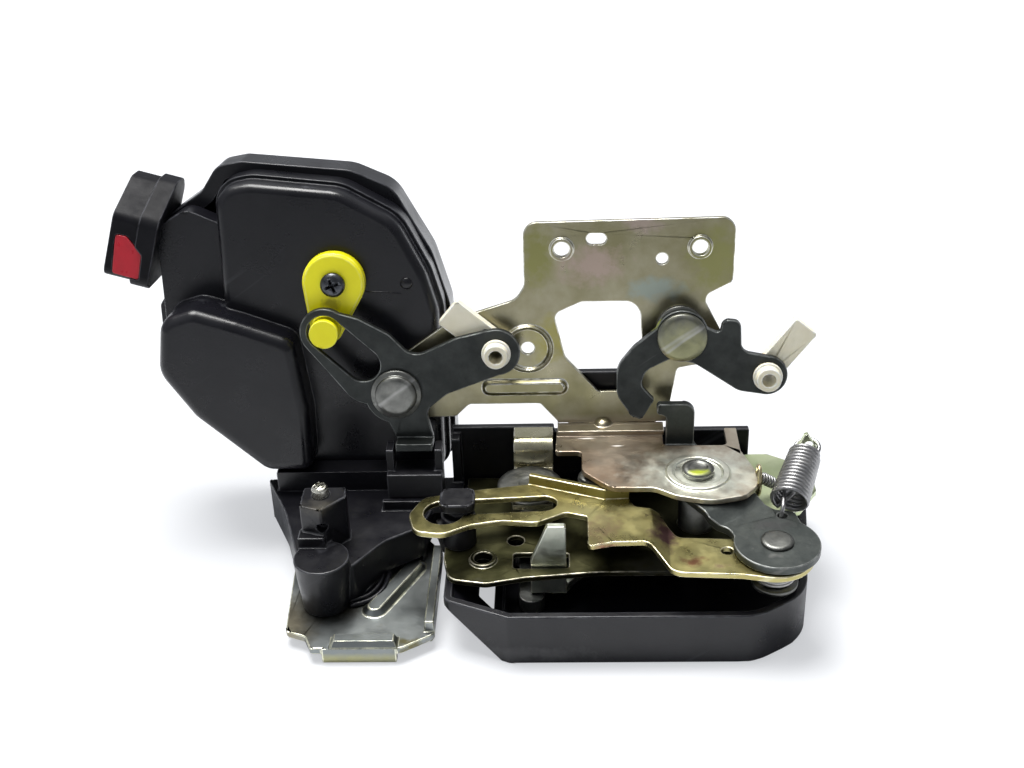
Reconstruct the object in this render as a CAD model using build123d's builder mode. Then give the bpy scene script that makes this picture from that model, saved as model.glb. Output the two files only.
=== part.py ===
"""Door latch actuator: lock mechanism, mounting bracket and central-locking motor unit.

The latch lies as it would on a bench.  The horizontal plates are the ones that sit
behind the rear edge of the door; the upright sheet, which leans back, lies against
the inner panel and carries the rod levers and the motor unit.
"""
from build123d import *
import math
import os

os.makedirs("parts", exist_ok=True)

# ---------------------------------------------------------------- driving sizes (mm)
lean = math.radians(10.0)      # the upright sheet leans back from the vertical
fold_y = 34.0                  # where the upright face meets the back plate's top
fold_z = 33.0
sheet = 1.6                    # zinc plated plates
face_sheet = 2.0
lever_sheet = 2.2              # phosphated levers
link_sheet = 1.6
run = 0.06                     # radial clearance of a pin that turns in its hole
side_play = 0.2                # clearance between stacked moving pieces

case_wall = 2.2
case_floor = 2.0
case_rim = 15.0                # height of the tray
case_left, case_right = -47.0, 50.0
case_front, case_back = -28.0, 36.5
bow_start = -32.0              # the tray's floor rises from here to the left end
bow_rise = 13.0
back_wall_top = fold_z - sheet

base_top = case_rim + sheet

claw_axis = (-24.7, 16.0)
pawl_axis = (-7.6, 15.0)
release_axis = (20.5, 10.0)
link_axis = (38.5, -15.5)      # rivet between release lever and link, at rest
claw_low, claw_thick = 3.2, 4.0
claw_reach = 28.0
claw_arc = 11.4                # edge that the pawl rides on
claw_turn = 46.0               # degrees from open to latched
pivot_r = 4.0
knob_axis = (-43.7, 2.4)

# Points on the upright sheet are (u, w): u along the case, w up the sheet.
lock_axis = (-61.3, 13.2)
handle_axis = (17.0, 29.0)
output_axis = (-77.6, 43.5)
drive_pin = (-80.2, 31.0)
lock_rod_eye = (-33.4, 24.6)
handle_rod_eye = (40.3, 17.4)
lock_lever_h = 4.4             # underside of the lever above the sheet's face
handle_lever_h = 5.6
rivet_r = 4.5
drive_pin_r = 4.0
drive_play = 0.8               # lost motion of the drive pin in its slot, each side
eye_r = 3.3

# Motor unit, measured square to the upright sheet.
deck = -2.0                    # face of the gear chamber
part_line = -16.0              # where the two shells meet
shell_back = -28.0
shell_wall = 2.0
flange = 2.2                   # the rear shell stands out round the front one

thick_module, fine_module = 1.0, 0.8
sector_teeth, idler_small_teeth = 30, 12
idler_large_teeth, pinion_teeth = 36, 9
train_angle = 225.0            # direction from output shaft to motor
motor_r, motor_length = 11.0, 22.0
motor_low = part_line - 1.0     # the motor's lower end
motor_play = 1.0               # between the motor's cap and the hump's roof
hump_h = motor_low + motor_length + motor_play + shell_wall     # face of the motor hump


def save(piece, label):
    """Name a finished piece and write its file."""
    piece.part.label = label
    export_step(piece.part, f"parts/{label}.step")


def upright(height=0.0):
    """The upright sheet's front face, moved towards the rod side by height."""
    return Plane(
        origin=(0, fold_y, fold_z),
        x_dir=(1, 0, 0),
        z_dir=(0, -math.cos(lean), math.sin(lean)),
    ).offset(height)


def level(height):
    """A horizontal working plane."""
    return Plane.XY.offset(height)


def outline(points, radius):
    """Closed outline with rounded corners, added to the open sketch."""
    with BuildLine() as edge:
        FilletPolyline(*points, radius=radius, close=True)
    make_face(edge.edges())


def strip(points, radius, thick):
    """Section of a bent sheet, its thickness to the left of the path."""
    with BuildLine() as edge:
        FilletPolyline(*points, radius=radius)
        offset(amount=thick, side=Side.LEFT)
    make_face(edge.edges())


def disc(centre, radius, mode=Mode.ADD):
    with Locations(centre):
        Circle(radius, mode=mode)


def post(plane, centre, radius, height, mode=Mode.ADD):
    """Round post or hole that starts on a plane, in the open part."""
    with BuildSketch(plane) as round_face:
        disc(centre, radius)
    extrude(round_face.sketch, amount=height, mode=mode)


def toward(start, angle, distance):
    """Point at a direction in degrees and a distance from start."""
    a = math.radians(angle)
    return (start[0] + distance * math.cos(a), start[1] + distance * math.sin(a))


def gear_outline(centre, teeth, module, first_angle, wanted=None):
    """Toothed rim with straight-flanked teeth; a tooth stands at first_angle."""
    pitch_r = module * teeth / 2
    root_r, tip_r = pitch_r - 1.2 * module, pitch_r + 0.85 * module
    pitch = 360.0 / teeth
    count = wanted or teeth
    disc(centre, root_r)
    for i in range(count):
        middle = first_angle + (i - (count // 2 if wanted else 0)) * pitch
        corners = []
        for radius, share in ((root_r - 0.4, 0.33), (pitch_r, 0.205), (tip_r, 0.10)):
            corners.append((radius, share))
        path = [toward(centre, middle - s * pitch, r) for r, s in corners]
        path += [toward(centre, middle + s * pitch, r) for r, s in reversed(corners)]
        with BuildLine() as edge:
            Polyline(*path, close=True)
        make_face(edge.edges())


# ================================================================ latch case
# Black nylon moulding: tray with a bowed left end, back wall, web and boss.
web_under = 4.6
web_top = 17.0
web_back = 33.2
shoulder_front = 27.0
shoulder_top = 23.2
boss_axis = (-79.5, -8.5)
boss_r = 7.5
boss_top = 20.0
bore_r = 3.3
lug_x = (-14.0, 11.0)
lug_back = case_back + 4.7
sweep_play = 1.5               # room round the claw where it leaves the case
turret_outline = [(-85.4, -1.0), (-79.5, -3.2), (-73.6, 3.4), (-74.0, 8.0), (-85.4, 8.0)]
turret_top = 31.0
rib_place = Location((-61.6, -2.4, 0), (0, 0, 64))     # pressed rib of the face plate
rib_size, rib_rise = (27.0, 6.6), 1.7
stop_pin_axis, stop_pin_r, stop_pin_low = (-80.4, 4.4), 2.3, 24.0
tray_outline = [
    (case_left + 0.2, -20.5),
    (-30.0, case_front),
    (33.0, case_front),
    (46.5, -19.0),
    (case_right - 0.5, 0.0),
    (case_right + 4.0, case_back),
    (case_left + 0.2, case_back),
]
tray_corners = [3.0, 3.0, 13.0, 15.0, 10.0, 3.0, 1.0]
web_outline = [
    (-86.8, -5.0),
    (-84.5, -9.0),
    (-71.5, -8.5),
    (-63.9, 2.6),
    (-54.8, 8.6),
    (-51.0, 20.5),
    (-44.0, 22.0),
    (-44.0, web_back),
    (-101.0, web_back),
    (-93.6, 17.0),
]
web_corners = [3.0, 3.0, 2.0, 14.0, 8.0, 6.0, 0.5, 0.5, 1.0, 20.0]


def block(x_range, y_range, z_range, mode=Mode.ADD):
    """Box between limits, in the open part."""
    sizes = [b - a for a, b in (x_range, y_range, z_range)]
    middle = [(a + b) / 2 for a, b in (x_range, y_range, z_range)]
    with Locations(tuple(middle)):
        Box(*sizes, mode=mode)


def bow_section(drop):
    """Wedge under the rising floor at the left end, moved down by drop."""
    with BuildLine() as edge:
        Polyline(
            (bow_start, -drop),
            (case_left, bow_rise - drop),
            (case_left - 60, bow_rise - drop),
            (case_left - 60, -20),
            (bow_start, -20),
            close=True,
        )
    make_face(edge.edges())


with BuildPart() as tray_hollow:
    with BuildSketch(level(case_floor)):
        outline(tray_outline, tray_corners)
        offset(amount=-case_wall, mode=Mode.REPLACE)
    extrude(amount=40)
    with BuildSketch(Plane.XZ):
        bow_section(-1.4 * case_floor)
    extrude(amount=100, both=True, mode=Mode.SUBTRACT)

# room for the claw's prongs, which swing out of the left end into the mouth
with BuildPart() as claw_room:
    post(level(claw_low - 0.8), claw_axis, claw_reach + sweep_play, claw_thick + 1.6)
    with BuildSketch(Plane.XY):
        with Locations((case_left + 4, 3.0)):
            Rectangle(30, 46)
    extrude(amount=60, mode=Mode.INTERSECT)

with BuildPart() as latch_case:
    with BuildSketch(level(0)):
        outline(tray_outline, tray_corners)
    extrude(amount=case_rim)
    with BuildSketch(Plane.XZ):
        bow_section(0)
    extrude(amount=100, both=True, mode=Mode.SUBTRACT)
    # back wall that carries the back plate
    block((case_left, 37.0), (case_back - 6, case_back), (case_rim - 3, back_wall_top))
    add(tray_hollow.part, mode=Mode.SUBTRACT)
    block((case_left, 37.0), (case_back - case_wall, case_back), (case_rim - 3, back_wall_top))
    block((case_left, -18.0), (case_back - case_wall, case_back), (case_rim - 3, fold_z))
    # lug behind the bracket's window
    block(lug_x, (case_back, lug_back), (22.0, 29.0))
    block(lug_x, (lug_back - 2.4, lug_back), (22.0, 48.0))
    # web towards the motor unit, with the boss that stands on the face plate
    with BuildSketch(level(web_under)):
        outline(web_outline, web_corners)
    extrude(amount=web_top - web_under)
    with BuildSketch(level(web_under)):
        outline(web_outline, web_corners)
        offset(amount=-2.6, mode=Mode.REPLACE)
    extrude(amount=web_top - web_under - 2.4, mode=Mode.SUBTRACT)
    block((-97.0, -52.0), (shoulder_front, web_back), (web_top - 3, shoulder_top))
    with BuildSketch(level(web_under)):
        disc(boss_axis, boss_r - 1.4)
    extrude(amount=boss_top - web_under, taper=-5.0)
    post(level(web_under), boss_axis, bore_r, boss_top - 4 - web_under, Mode.SUBTRACT)
    # relief over the face plate's rib
    with BuildSketch(level(web_under)):
        with Locations(rib_place):
            SlotOverall(rib_size[0] + 0.8, rib_size[1] + 0.8)
    extrude(amount=rib_rise + 0.4, mode=Mode.SUBTRACT)
    # turret behind the boss, with the bore of the stop pin
    with BuildSketch(level(web_top - 1)):
        outline(turret_outline, 0.8)
    extrude(amount=turret_top - web_top + 1)
    block((-86.2, -79.0), (-4.6, 0.0), (web_top - 1, boss_top + 3.0))
    post(level(stop_pin_low), stop_pin_axis, stop_pin_r, 20.0, Mode.SUBTRACT)
    post(Plane.XZ, (-79.6, 25.0), 1.4, 6.0, Mode.SUBTRACT)
    add(claw_room.part, mode=Mode.SUBTRACT)
    # rail that the lock slider runs along
    block((-66.0, -48.4), (16.6, 18.2), (web_top - 1, web_top + 3))
save(latch_case, "latch_case")

with BuildPart() as stop_pin:
    post(level(stop_pin_low), stop_pin_axis, stop_pin_r, turret_top + 2.4 - stop_pin_low)
    post(level(turret_top + 2.4), stop_pin_axis, stop_pin_r - 0.8, 0.8)
save(stop_pin, "stop_pin")

# ================================================================ zinc plates
# Face plate: lies against the door's edge and carries the three body screws.
face_top = web_under
face_under = face_top - face_sheet
face_hole_r = 2.5
face_holes = [boss_axis, (-84.0, 20.0), (-62.0, 24.0)]
mouth_edge = -49.6             # right side of the face plate, along the striker mouth
flange_rise, flange_w = 3.2, 2.5
face_outline = [
    (-88.8, -20.0),
    (-83.4, -22.2),
    (-81.4, -27.0),
    (-57.8, -27.0),
    (mouth_edge, -21.5),
    (mouth_edge, 14.0),
    (-54.0, 20.0),
    (-52.0, 32.0),
    (-92.0, 32.0),
]
with BuildPart() as face_plate:
    with BuildSketch(level(face_under)):
        outline(face_outline, [2.0, 1.2, 1.2, 2.0, 2.0, 3.0, 4.0, 4.0, 4.0])
    extrude(amount=face_sheet)
    # stiffening flange along the mouth and lip along the front
    flange_top = face_top + flange_rise
    block((mouth_edge - flange_w, mouth_edge), (-20.6, 13.0), (face_under, flange_top))
    # front edge: turned down to the door's skin, with a raised bar on top
    block((-78.4, -59.0), (-27.4, -25.4), (0.2, face_top))
    with BuildSketch(level(face_top)):
        with Locations((-67.5, -25.0)):
            Rectangle(17.4, 4.4)
    extrude(amount=1.9, taper=22)
    # pressed rib
    with BuildSketch(level(face_top)):
        with Locations(rib_place):
            SlotOverall(*rib_size)
    extrude(amount=rib_rise, taper=40)
    with Locations(*[(x, y, face_top) for x, y in face_holes]):
        Hole(face_hole_r, depth=face_sheet * 2)
save(face_plate, "face_plate")

# Base plate: lid of the tray, holds the lower ends of the pivots.
base_outline = [
    (-47.6, -5.0),
    (-45.8, -14.0),
    (-36.0, -16.0),
    (-26.0, -13.6),
    (-6.0, -11.4),
    (14.0, -11.4),
    (34.0, -8.0),
    (46.0, 2.0),
    (50.0, 30.0),
    (-43.0, 33.5),
    (-43.0, 21.0),
    (-47.6, 19.0),
]
tab_low, tab_high = (-24.4, -15.0), (-20.0, -15.0)   # X range of the lifter tab, foot and top
tab_back = -7.0
tab_sheet = 2.0
with BuildPart() as base_plate:
    with BuildSketch(level(case_rim)):
        outline(base_outline, [3.0, 4.0, 5.0, 8.0, 3.0, 4.0, 6.0, 6.0, 3.0, 1.0, 0.8, 0.8])
        # window that the lifter tab swings in
        with Locations((tab_low[0] + 2.75, tab_back + 0.65)):
            RectangleRounded(14.6, 6.6, 1.0, mode=Mode.SUBTRACT)
        disc(claw_axis, pivot_r, Mode.SUBTRACT)
        disc(pawl_axis, pivot_r - 0.8, Mode.SUBTRACT)
        disc(release_axis, pivot_r + 1.0, Mode.SUBTRACT)
    extrude(amount=sheet)
    # extruded hole and plain hole at the front corner
    post(level(base_top), (-37.0, -6.0), 3.6, 0.9)
    post(level(case_rim - 1), (-37.0, -6.0), 2.4, 5.0, Mode.SUBTRACT)
    post(level(case_rim - 1), (-28.5, 2.6), 2.2, 5.0, Mode.SUBTRACT)
save(base_plate, "base_plate")

# Mounting bracket: one sheet, whose upright part and folded back plate are two nodes.
tapped_holes = [(-15.2, 51.8), (22.2, 51.8)]
tapped_r, collar_r, collar_rise = 2.15, 3.2, 1.2
upright_outline = [
    (-25.6, 41.5),
    (-25.6, 59.2),
    (31.8, 59.9),
    (31.3, 42.0),
    (23.2, 37.8),
    (28.2, 28.0),
    (27.0, 19.0),
    (16.4, 17.2),
    (14.4, 6.0),
    (12.6, -3.0),
    (-17.0, -3.0),
    (-17.0, 1.8),
    (-21.8, 7.2),
    (-41.8, 7.2),
    (-45.5, 3.6),
    (-64.0, 3.0),
    (-68.5, 13.0),
    (-60.0, 22.0),
    (-46.0, 32.0),
    (-28.0, 37.6),
]
window_outline = [
    (-17.6, 33.4),
    (-10.0, 36.8),
    (6.0, 36.8),
    (6.6, 26.0),
    (5.8, 10.6),
    (-5.4, 10.6),
    (-14.6, 20.8),
]
bend_r = 1.5
fold_reach = bend_r * 0.9      # from the fold line to where the flat sheet begins
fold_x = (-17.0, 12.6)
back_outline = [
    (-17.0, 40.0),
    (-17.6, 21.2),
    (-10.4, 21.2),
    (-10.6, 11.6),
    (-3.0, 3.4),
    (8.5, 3.2),
    (14.0, -0.6),
    (23.0, -3.2),
    (32.0, -0.8),
    (36.0, 4.0),
    (36.0, 11.0),
    (33.0, 21.0),
    (33.0, 40.0),
]
hook_window = ((12.2, 29.6), (23.8, 40.0))
dome_x, dome_r = -4.2, 3.0     # stamped dome on the fold
with BuildPart() as mounting_bracket:
    with BuildSketch(upright(-sheet)):
        outline(
            upright_outline,
            [3.0, 3.8, 3.8, 2.0, 2.5, 2.5, 3.0, 1.5, 1.5, 0.5]
            + [0.5, 0.5, 1.5, 2.0, 2.5, 2.0, 4.0, 4.0, 8.0, 5.0],
        )
        with BuildSketch(mode=Mode.SUBTRACT):
            outline(window_outline, [2.5, 4.0, 4.5, 6.0, 1.0, 2.0, 5.0])
        for hole in tapped_holes:
            disc(hole, tapped_r, Mode.SUBTRACT)
        disc((12.0, 48.6), 1.6, Mode.SUBTRACT)
        disc((-24.9, 23.6), 1.8, Mode.SUBTRACT)
        with Locations((-5.8, 54.4)):
            SlotOverall(5.4, 3.2, mode=Mode.SUBTRACT)
        disc(lock_axis, rivet_r, Mode.SUBTRACT)
        disc(handle_axis, rivet_r, Mode.SUBTRACT)
    extrude(amount=sheet)
    # keep only what stands above the fold
    with BuildSketch(upright(-5)):
        with Locations((0, 50 + fold_reach)):
            Rectangle(200, 100)
    extrude(amount=10, mode=Mode.INTERSECT)
    # drawn collars of the tapped holes, round boss and long bead
    for hole in tapped_holes:
        with BuildSketch(upright(0)) as collar:
            disc(hole, collar_r)
            disc(hole, tapped_r, Mode.SUBTRACT)
        extrude(collar.sketch, amount=collar_rise)
    with BuildSketch(upright(0)):
        disc((-24.9, 23.6), 7.0)
        disc((-24.9, 23.6), 5.6, Mode.SUBTRACT)
    extrude(amount=0.8, taper=30)
    with BuildSketch(upright(0)):
        with Locations((-26.0, 12.2)):
            SlotOverall(24.0, 4.6)
    extrude(amount=1.1, taper=40)
save(mounting_bracket, "mounting_bracket")

with BuildPart() as dome:
    with Locations((dome_x, fold_y - 0.6, fold_z)):
        Sphere(dome_r, arc_size1=0, align=(Align.CENTER, Align.CENTER, Align.MIN))
    with BuildSketch(upright(-20)):
        with Locations((0, 50 + fold_reach)):
            Rectangle(200, 100)
    extrude(amount=20, mode=Mode.SUBTRACT)

with BuildPart() as back_plate:
    with BuildSketch(level(back_wall_top)):
        with BuildSketch():
            outline(
                back_outline,
                [0.5, 1.0, 1.5, 5.0, 6.0, 4.0, 5.0, 12.0, 5.0, 6.0, 4.0, 4.0, 0.5],
            )
        (x0, x1), (y0, y1) = hook_window
        with Locations(((x0 + x1) / 2, (y0 + y1) / 2)):
            RectangleRounded(x1 - x0, y1 - y0, 1.5, mode=Mode.SUBTRACT)
        disc(release_axis, pivot_r, Mode.SUBTRACT)
    extrude(amount=sheet)
    with BuildSketch(level(0)):
        with Locations((0, fold_y - fold_reach - 50)):
            Rectangle(200, 100)
    extrude(amount=60, mode=Mode.INTERSECT)
    with BuildSketch(Plane.YZ.offset(fold_x[0])) as fold:
        up = (math.sin(lean), math.cos(lean))
        strip(
            [
                (fold_y - 5, fold_z),
                (fold_y, fold_z),
                (fold_y + fold_reach * up[0], fold_z + fold_reach * up[1]),
            ],
            bend_r,
            -sheet,
        )
    extrude(fold.sketch, amount=fold_x[1] - fold_x[0])
    # drawn ring round the release pivot and dome on the fold
    with BuildSketch(level(fold_z)):
        disc(release_axis, 8.7)
        disc(release_axis, 6.4, Mode.SUBTRACT)
    extrude(amount=0.6, taper=30)
    add(dome.part)
save(back_plate, "back_plate")

# ================================================================ catch
claw_hub_r = 8.2
prong_w = 6.8
rear_prong, front_prong = 215.0, 271.0        # directions with the latch open
rear_reach = 24.3
with BuildPart() as claw:
    with BuildSketch(level(claw_low)):
        disc(claw_axis, claw_hub_r)
        for angle, reach in ((rear_prong, rear_reach), (front_prong, claw_reach)):
            length = reach - prong_w / 2
            middle = toward(claw_axis, angle, length / 2)
            with Locations(Location((middle[0], middle[1], 0), (0, 0, angle))):
                SlotCenterToCenter(length, prong_w)
        with BuildLine() as sector:
            arc = CenterArc(claw_axis, claw_arc, -60, 140)
            Line(arc @ 1, claw_axis)
            Line(claw_axis, arc @ 0)
        make_face(sector.edges())
        disc(claw_axis, pivot_r + run, Mode.SUBTRACT)
    extrude(amount=claw_thick)
save(claw, "claw")

strap_x = (-29.4, -18.3)
strap_z = 23.2
strap_back = 27.4
claw_head_r = 9.0
with BuildPart() as claw_pivot:
    post(level(case_floor), claw_axis, 6.0, claw_low - side_play - case_floor)
    post(level(case_floor), claw_axis, pivot_r, strap_z + sheet - case_floor)
    post(level(claw_low + claw_thick + side_play), claw_axis, 5.4, 7.6)
    post(level(base_top), claw_axis, 5.4, strap_z - base_top)
    post(level(strap_z + sheet), claw_axis, claw_head_r, 1.4)
save(claw_pivot, "claw_pivot")

with BuildPart() as claw_strap:
    with BuildSketch(Plane.YZ.offset(strap_x[0])):
        strip(
            [
                (7.5, strap_z),
                (strap_back, strap_z),
                (strap_back, back_wall_top),
                (case_back - case_wall - 0.1, back_wall_top),
            ],
            1.9,
            sheet,
        )
    extrude(amount=strap_x[1] - strap_x[0])
    post(level(strap_z - 1), claw_axis, pivot_r, 4.0, Mode.SUBTRACT)
save(claw_strap, "claw_strap")

# Pawl: hook beside the claw and a lifter arm above it that ends in an upright tab.
lifter_low, lifter_high = 7.8, 9.8
tab_top = 29.2
pawl_pin_r = pivot_r - 0.8
with BuildPart() as pawl:
    with BuildSketch(level(claw_low)):
        disc(pawl_axis, 5.0)
        ride = claw_arc + 0.35
        outline(
            [
                (-12.4, 14.0),
                (-12.6, 19.5),
                toward(claw_axis, 37.5, ride),
                toward(claw_axis, 46.0, ride),
                toward(claw_axis, 46.0, ride + 5.0),
                (-5.5, 25.5),
                (-3.0, 15.0),
            ],
            [0.5, 2.0, 0.3, 0.3, 1.0, 3.0, 1.0],
        )
    extrude(amount=claw_thick)
    with BuildSketch(level(claw_low)):
        disc(pawl_axis, 5.0)
    extrude(amount=lifter_high - claw_low)
    with BuildSketch(level(lifter_low)):
        outline(
            [
                (-12.0, 16.0),
                (-13.5, 5.0),
                (tab_low[0], -4.5),
                (tab_low[0], tab_back - tab_sheet),
                (tab_low[1], tab_back - tab_sheet),
                (-14.0, -6.5),
                (-5.5, 3.0),
                (-3.0, 15.0),
            ],
            [1.0, 6.0, 1.0, 0.5, 0.5, 2.0, 4.0, 1.0],
        )
    extrude(amount=lifter_high - lifter_low)
    with BuildSketch(Plane.XZ.offset(-tab_back)):
        outline(
            [
                (tab_low[0], lifter_low),
                (tab_low[1], lifter_low),
                (tab_high[1], tab_top),
                (tab_high[0], tab_top),
                (tab_low[0], 18.0),
            ],
            [0.3, 0.3, 0.6, 0.8, 0.8],
        )
    extrude(amount=tab_sheet)
    post(level(claw_low - 1), pawl_axis, pawl_pin_r + run, 12.0, Mode.SUBTRACT)
save(pawl, "pawl")

pawl_head_z = 28.4
with BuildPart() as pawl_pivot:
    post(level(case_floor), pawl_axis, 4.6, claw_low - side_play - case_floor)
    post(level(case_floor), pawl_axis, pawl_pin_r, pawl_head_z - case_floor)
    post(level(lifter_high + side_play), pawl_axis, 4.6, case_rim - lifter_high - side_play)
    post(level(base_top), pawl_axis, 4.0, pawl_head_z - base_top)
    post(level(pawl_head_z), pawl_axis, 3.8, 1.2)
save(pawl_pivot, "pawl_pivot")

with BuildPart() as mouth_bumper:
    with BuildSketch(level(8.0)):
        outline([(-49.3, 9.0), (-47.3, 9.0), (-47.3, 17.0), (-51.5, 17.0)], 0.8)
    extrude(amount=6.0)
save(mouth_bumper, "mouth_bumper")

# ================================================================ release chain
low_step, high_step = 26.5, 28.9      # underside of the lever at its two ends
lever_end_r, lever_boss_r = 11.0, 8.5
spring_eye = (41.3, -3.9)
hook_back, hook_top = 29.4, 44.0
hook_x = (13.0, 20.8)
arm_angle = math.degrees(
    math.atan2(link_axis[1] - release_axis[1], link_axis[0] - release_axis[0])
)
arm_dir = (math.cos(math.radians(arm_angle)), math.sin(math.radians(arm_angle)))
along_arm = Plane(
    origin=(release_axis[0], release_axis[1], 0),
    x_dir=(arm_dir[0], arm_dir[1], 0),
    z_dir=(arm_dir[1], -arm_dir[0], 0),
)
with BuildPart() as release_lever:
    with BuildSketch(along_arm):
        strip(
            [(-40, high_step), (12.0, high_step), (16.5, low_step), (60, low_step)],
            1.5,
            lever_sheet,
        )
    extrude(amount=60, both=True)
    with BuildSketch(level(0)):
        disc(release_axis, lever_boss_r)
        disc(link_axis, lever_end_r)
        outline(
            [
                (12.6, 8.0),
                (22.0, -6.4),
                (27.0, -9.5),
                (29.0, -17.0),
                (46.0, -8.0),
                (44.6, -1.8),
                (39.8, -1.2),
                (34.4, 4.6),
                (28.0, 14.0),
            ],
            [1.0, 3.0, 4.0, 1.0, 2.0, 2.4, 2.4, 4.0, 1.0],
        )
        outline(
            [(12.4, 9.0), (hook_x[0], hook_back), (hook_x[1], hook_back), (28.4, 11.0)],
            [1.0, 0.4, 0.4, 1.0],
        )
    extrude(amount=60, mode=Mode.INTERSECT)
    with BuildSketch(Plane.XZ.offset(-hook_back)):
        outline(
            [
                (hook_x[0], high_step),
                (hook_x[1], high_step),
                (hook_x[1], hook_top),
                (hook_x[0] - 2.6, hook_top),
                (hook_x[0] - 2.6, hook_top - 3.0),
                (hook_x[0], hook_top - 4.0),
            ],
            [0.3, 0.3, 3.0, 1.2, 0.8, 1.0],
        )
    extrude(amount=lever_sheet)
    post(level(20), release_axis, pivot_r + run, 20.0, Mode.SUBTRACT)
    post(level(20), link_axis, 3.5, 20.0, Mode.SUBTRACT)
    post(level(20), spring_eye, 1.3, 20.0, Mode.SUBTRACT)
save(release_lever, "release_lever")

with BuildPart() as release_pivot:
    post(level(case_floor), release_axis, pivot_r + 1.0, high_step - side_play - case_floor)
    post(level(case_floor), release_axis, pivot_r, fold_z - case_floor)
    post(level(fold_z), release_axis, 4.3, 2.0)
save(release_pivot, "release_pivot")

link_low, link_drop = 26.6, 1.9
link_rivet_r = 3.5
link_end, link_end_r = (37.2, -16.4), 10.8     # rounded right end of the link
slot_w = 6.6
link_outline = [
    (-56.6, -1.2),
    (-53.4, 6.6),
    (-40.6, 9.8),
    (-24.9, 12.6),
    (-4.5, 4.9),
    (1.9, 5.2),
    (3.4, 1.6),
    (9.5, 0.4),
    (13.6, -9.8),
    (28.0, -10.6),
    (40.0, -6.0),
    (36.0, -27.2),
    (28.7, -25.6),
    (12.0, -24.6),
    (5.8, -14.0),
    (-3.0, -14.2),
    (-9.4, -16.0),
    (-9.4, -2.8),
    (-15.0, -0.9),
    (-22.5, -5.4),
    (-32.0, -4.4),
    (-40.0, -6.2),
    (-47.0, -10.2),
    (-54.6, -8.8),
]
link_corners = [5.0, 5.0, 10.0, 0.4, 0.4, 0.4, 1.4, 4.0, 3.0, 3.0, 1.0, 1.0, 8.0, 5.0]
link_corners += [2.4, 1.0, 1.2, 1.0, 2.0, 5.0, 8.0, 8.0, 5.0, 4.0]
with BuildPart() as link:
    with BuildSketch(Plane.XZ):
        strip(
            [(-80, link_low), (7.0, link_low), (11.0, link_low - link_drop), (80, link_low - link_drop)],
            1.5,
            link_sheet,
        )
    extrude(amount=60, both=True)
    with BuildSketch(level(0)):
        outline(link_outline, link_corners)
        disc(link_end, link_end_r)
        slot_from, slot_to = (-46.6, 1.6), (-20.6, 3.4)
        slot_angle = math.degrees(
            math.atan2(slot_to[1] - slot_from[1], slot_to[0] - slot_from[0])
        )
        slot_mid = [(a + b) / 2 for a, b in zip(slot_from, slot_to)]
        with Locations(Location((slot_mid[0], slot_mid[1], 0), (0, 0, slot_angle))):
            SlotCenterToCenter(math.dist(slot_from, slot_to), slot_w, mode=Mode.SUBTRACT)
        disc((-47.2, -0.4), 5.3, Mode.SUBTRACT)
        disc(link_axis, link_rivet_r + run, Mode.SUBTRACT)
        disc((26.0, -15.8), 1.5, Mode.SUBTRACT)
    extrude(amount=60, mode=Mode.INTERSECT)
    with BuildSketch(level(link_low)):
        strip([(-24.9, 12.6), (-4.5, 4.9), (1.9, 5.2)], 2.0, link_sheet)
    extrude(amount=4.5)
save(link, "link")

rivet_foot = 15.7
with BuildPart() as link_rivet:
    post(level(rivet_foot), link_axis, link_rivet_r, low_step + lever_sheet - rivet_foot)
    post(level(rivet_foot), link_axis, 6.0, 1.3)
    post(level(low_step + lever_sheet), link_axis, 4.2, 1.0)
save(link_rivet, "link_rivet")


def coil(plane, inner_r, wire, turns):
    """Close-wound spring about the plane's normal: a ribbed tube."""
    side = Plane(plane.origin, plane.x_dir, -plane.y_dir)
    points = [(inner_r, 0)]
    for i in range(turns):
        points.append((inner_r + 0.62 * wire, i * wire))
        points.append((inner_r + wire, (i + 0.28) * wire))
        points.append((inner_r + wire, (i + 0.72) * wire))
    points.append((inner_r + 0.62 * wire, turns * wire))
    points.append((inner_r, turns * wire))
    with BuildLine() as edge:
        Polyline(*points, close=True)
    with BuildSketch(side) as section:
        make_face(edge.edges())
    revolve(section.sketch, axis=Axis(plane.origin, plane.z_dir))


link_wire = 1.3
with BuildPart() as link_spring:
    coil(
        Plane((link_axis[0], link_axis[1], rivet_foot + 1.4)),
        link_rivet_r + 0.5,
        link_wire,
        3,
    )
save(link_spring, "link_spring")

with BuildPart() as guide_knob:
    post(level(base_top), knob_axis, 4.6, link_low - 0.4 - base_top)
    post(level(base_top), knob_axis, 2.2, 14.0)
    with BuildSketch(level(link_low + link_sheet + 0.3)):
        with Locations(knob_axis):
            RectangleRounded(9.4, 8.6, 2.6)
    extrude(amount=2.7)
save(guide_knob, "guide_knob")

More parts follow.
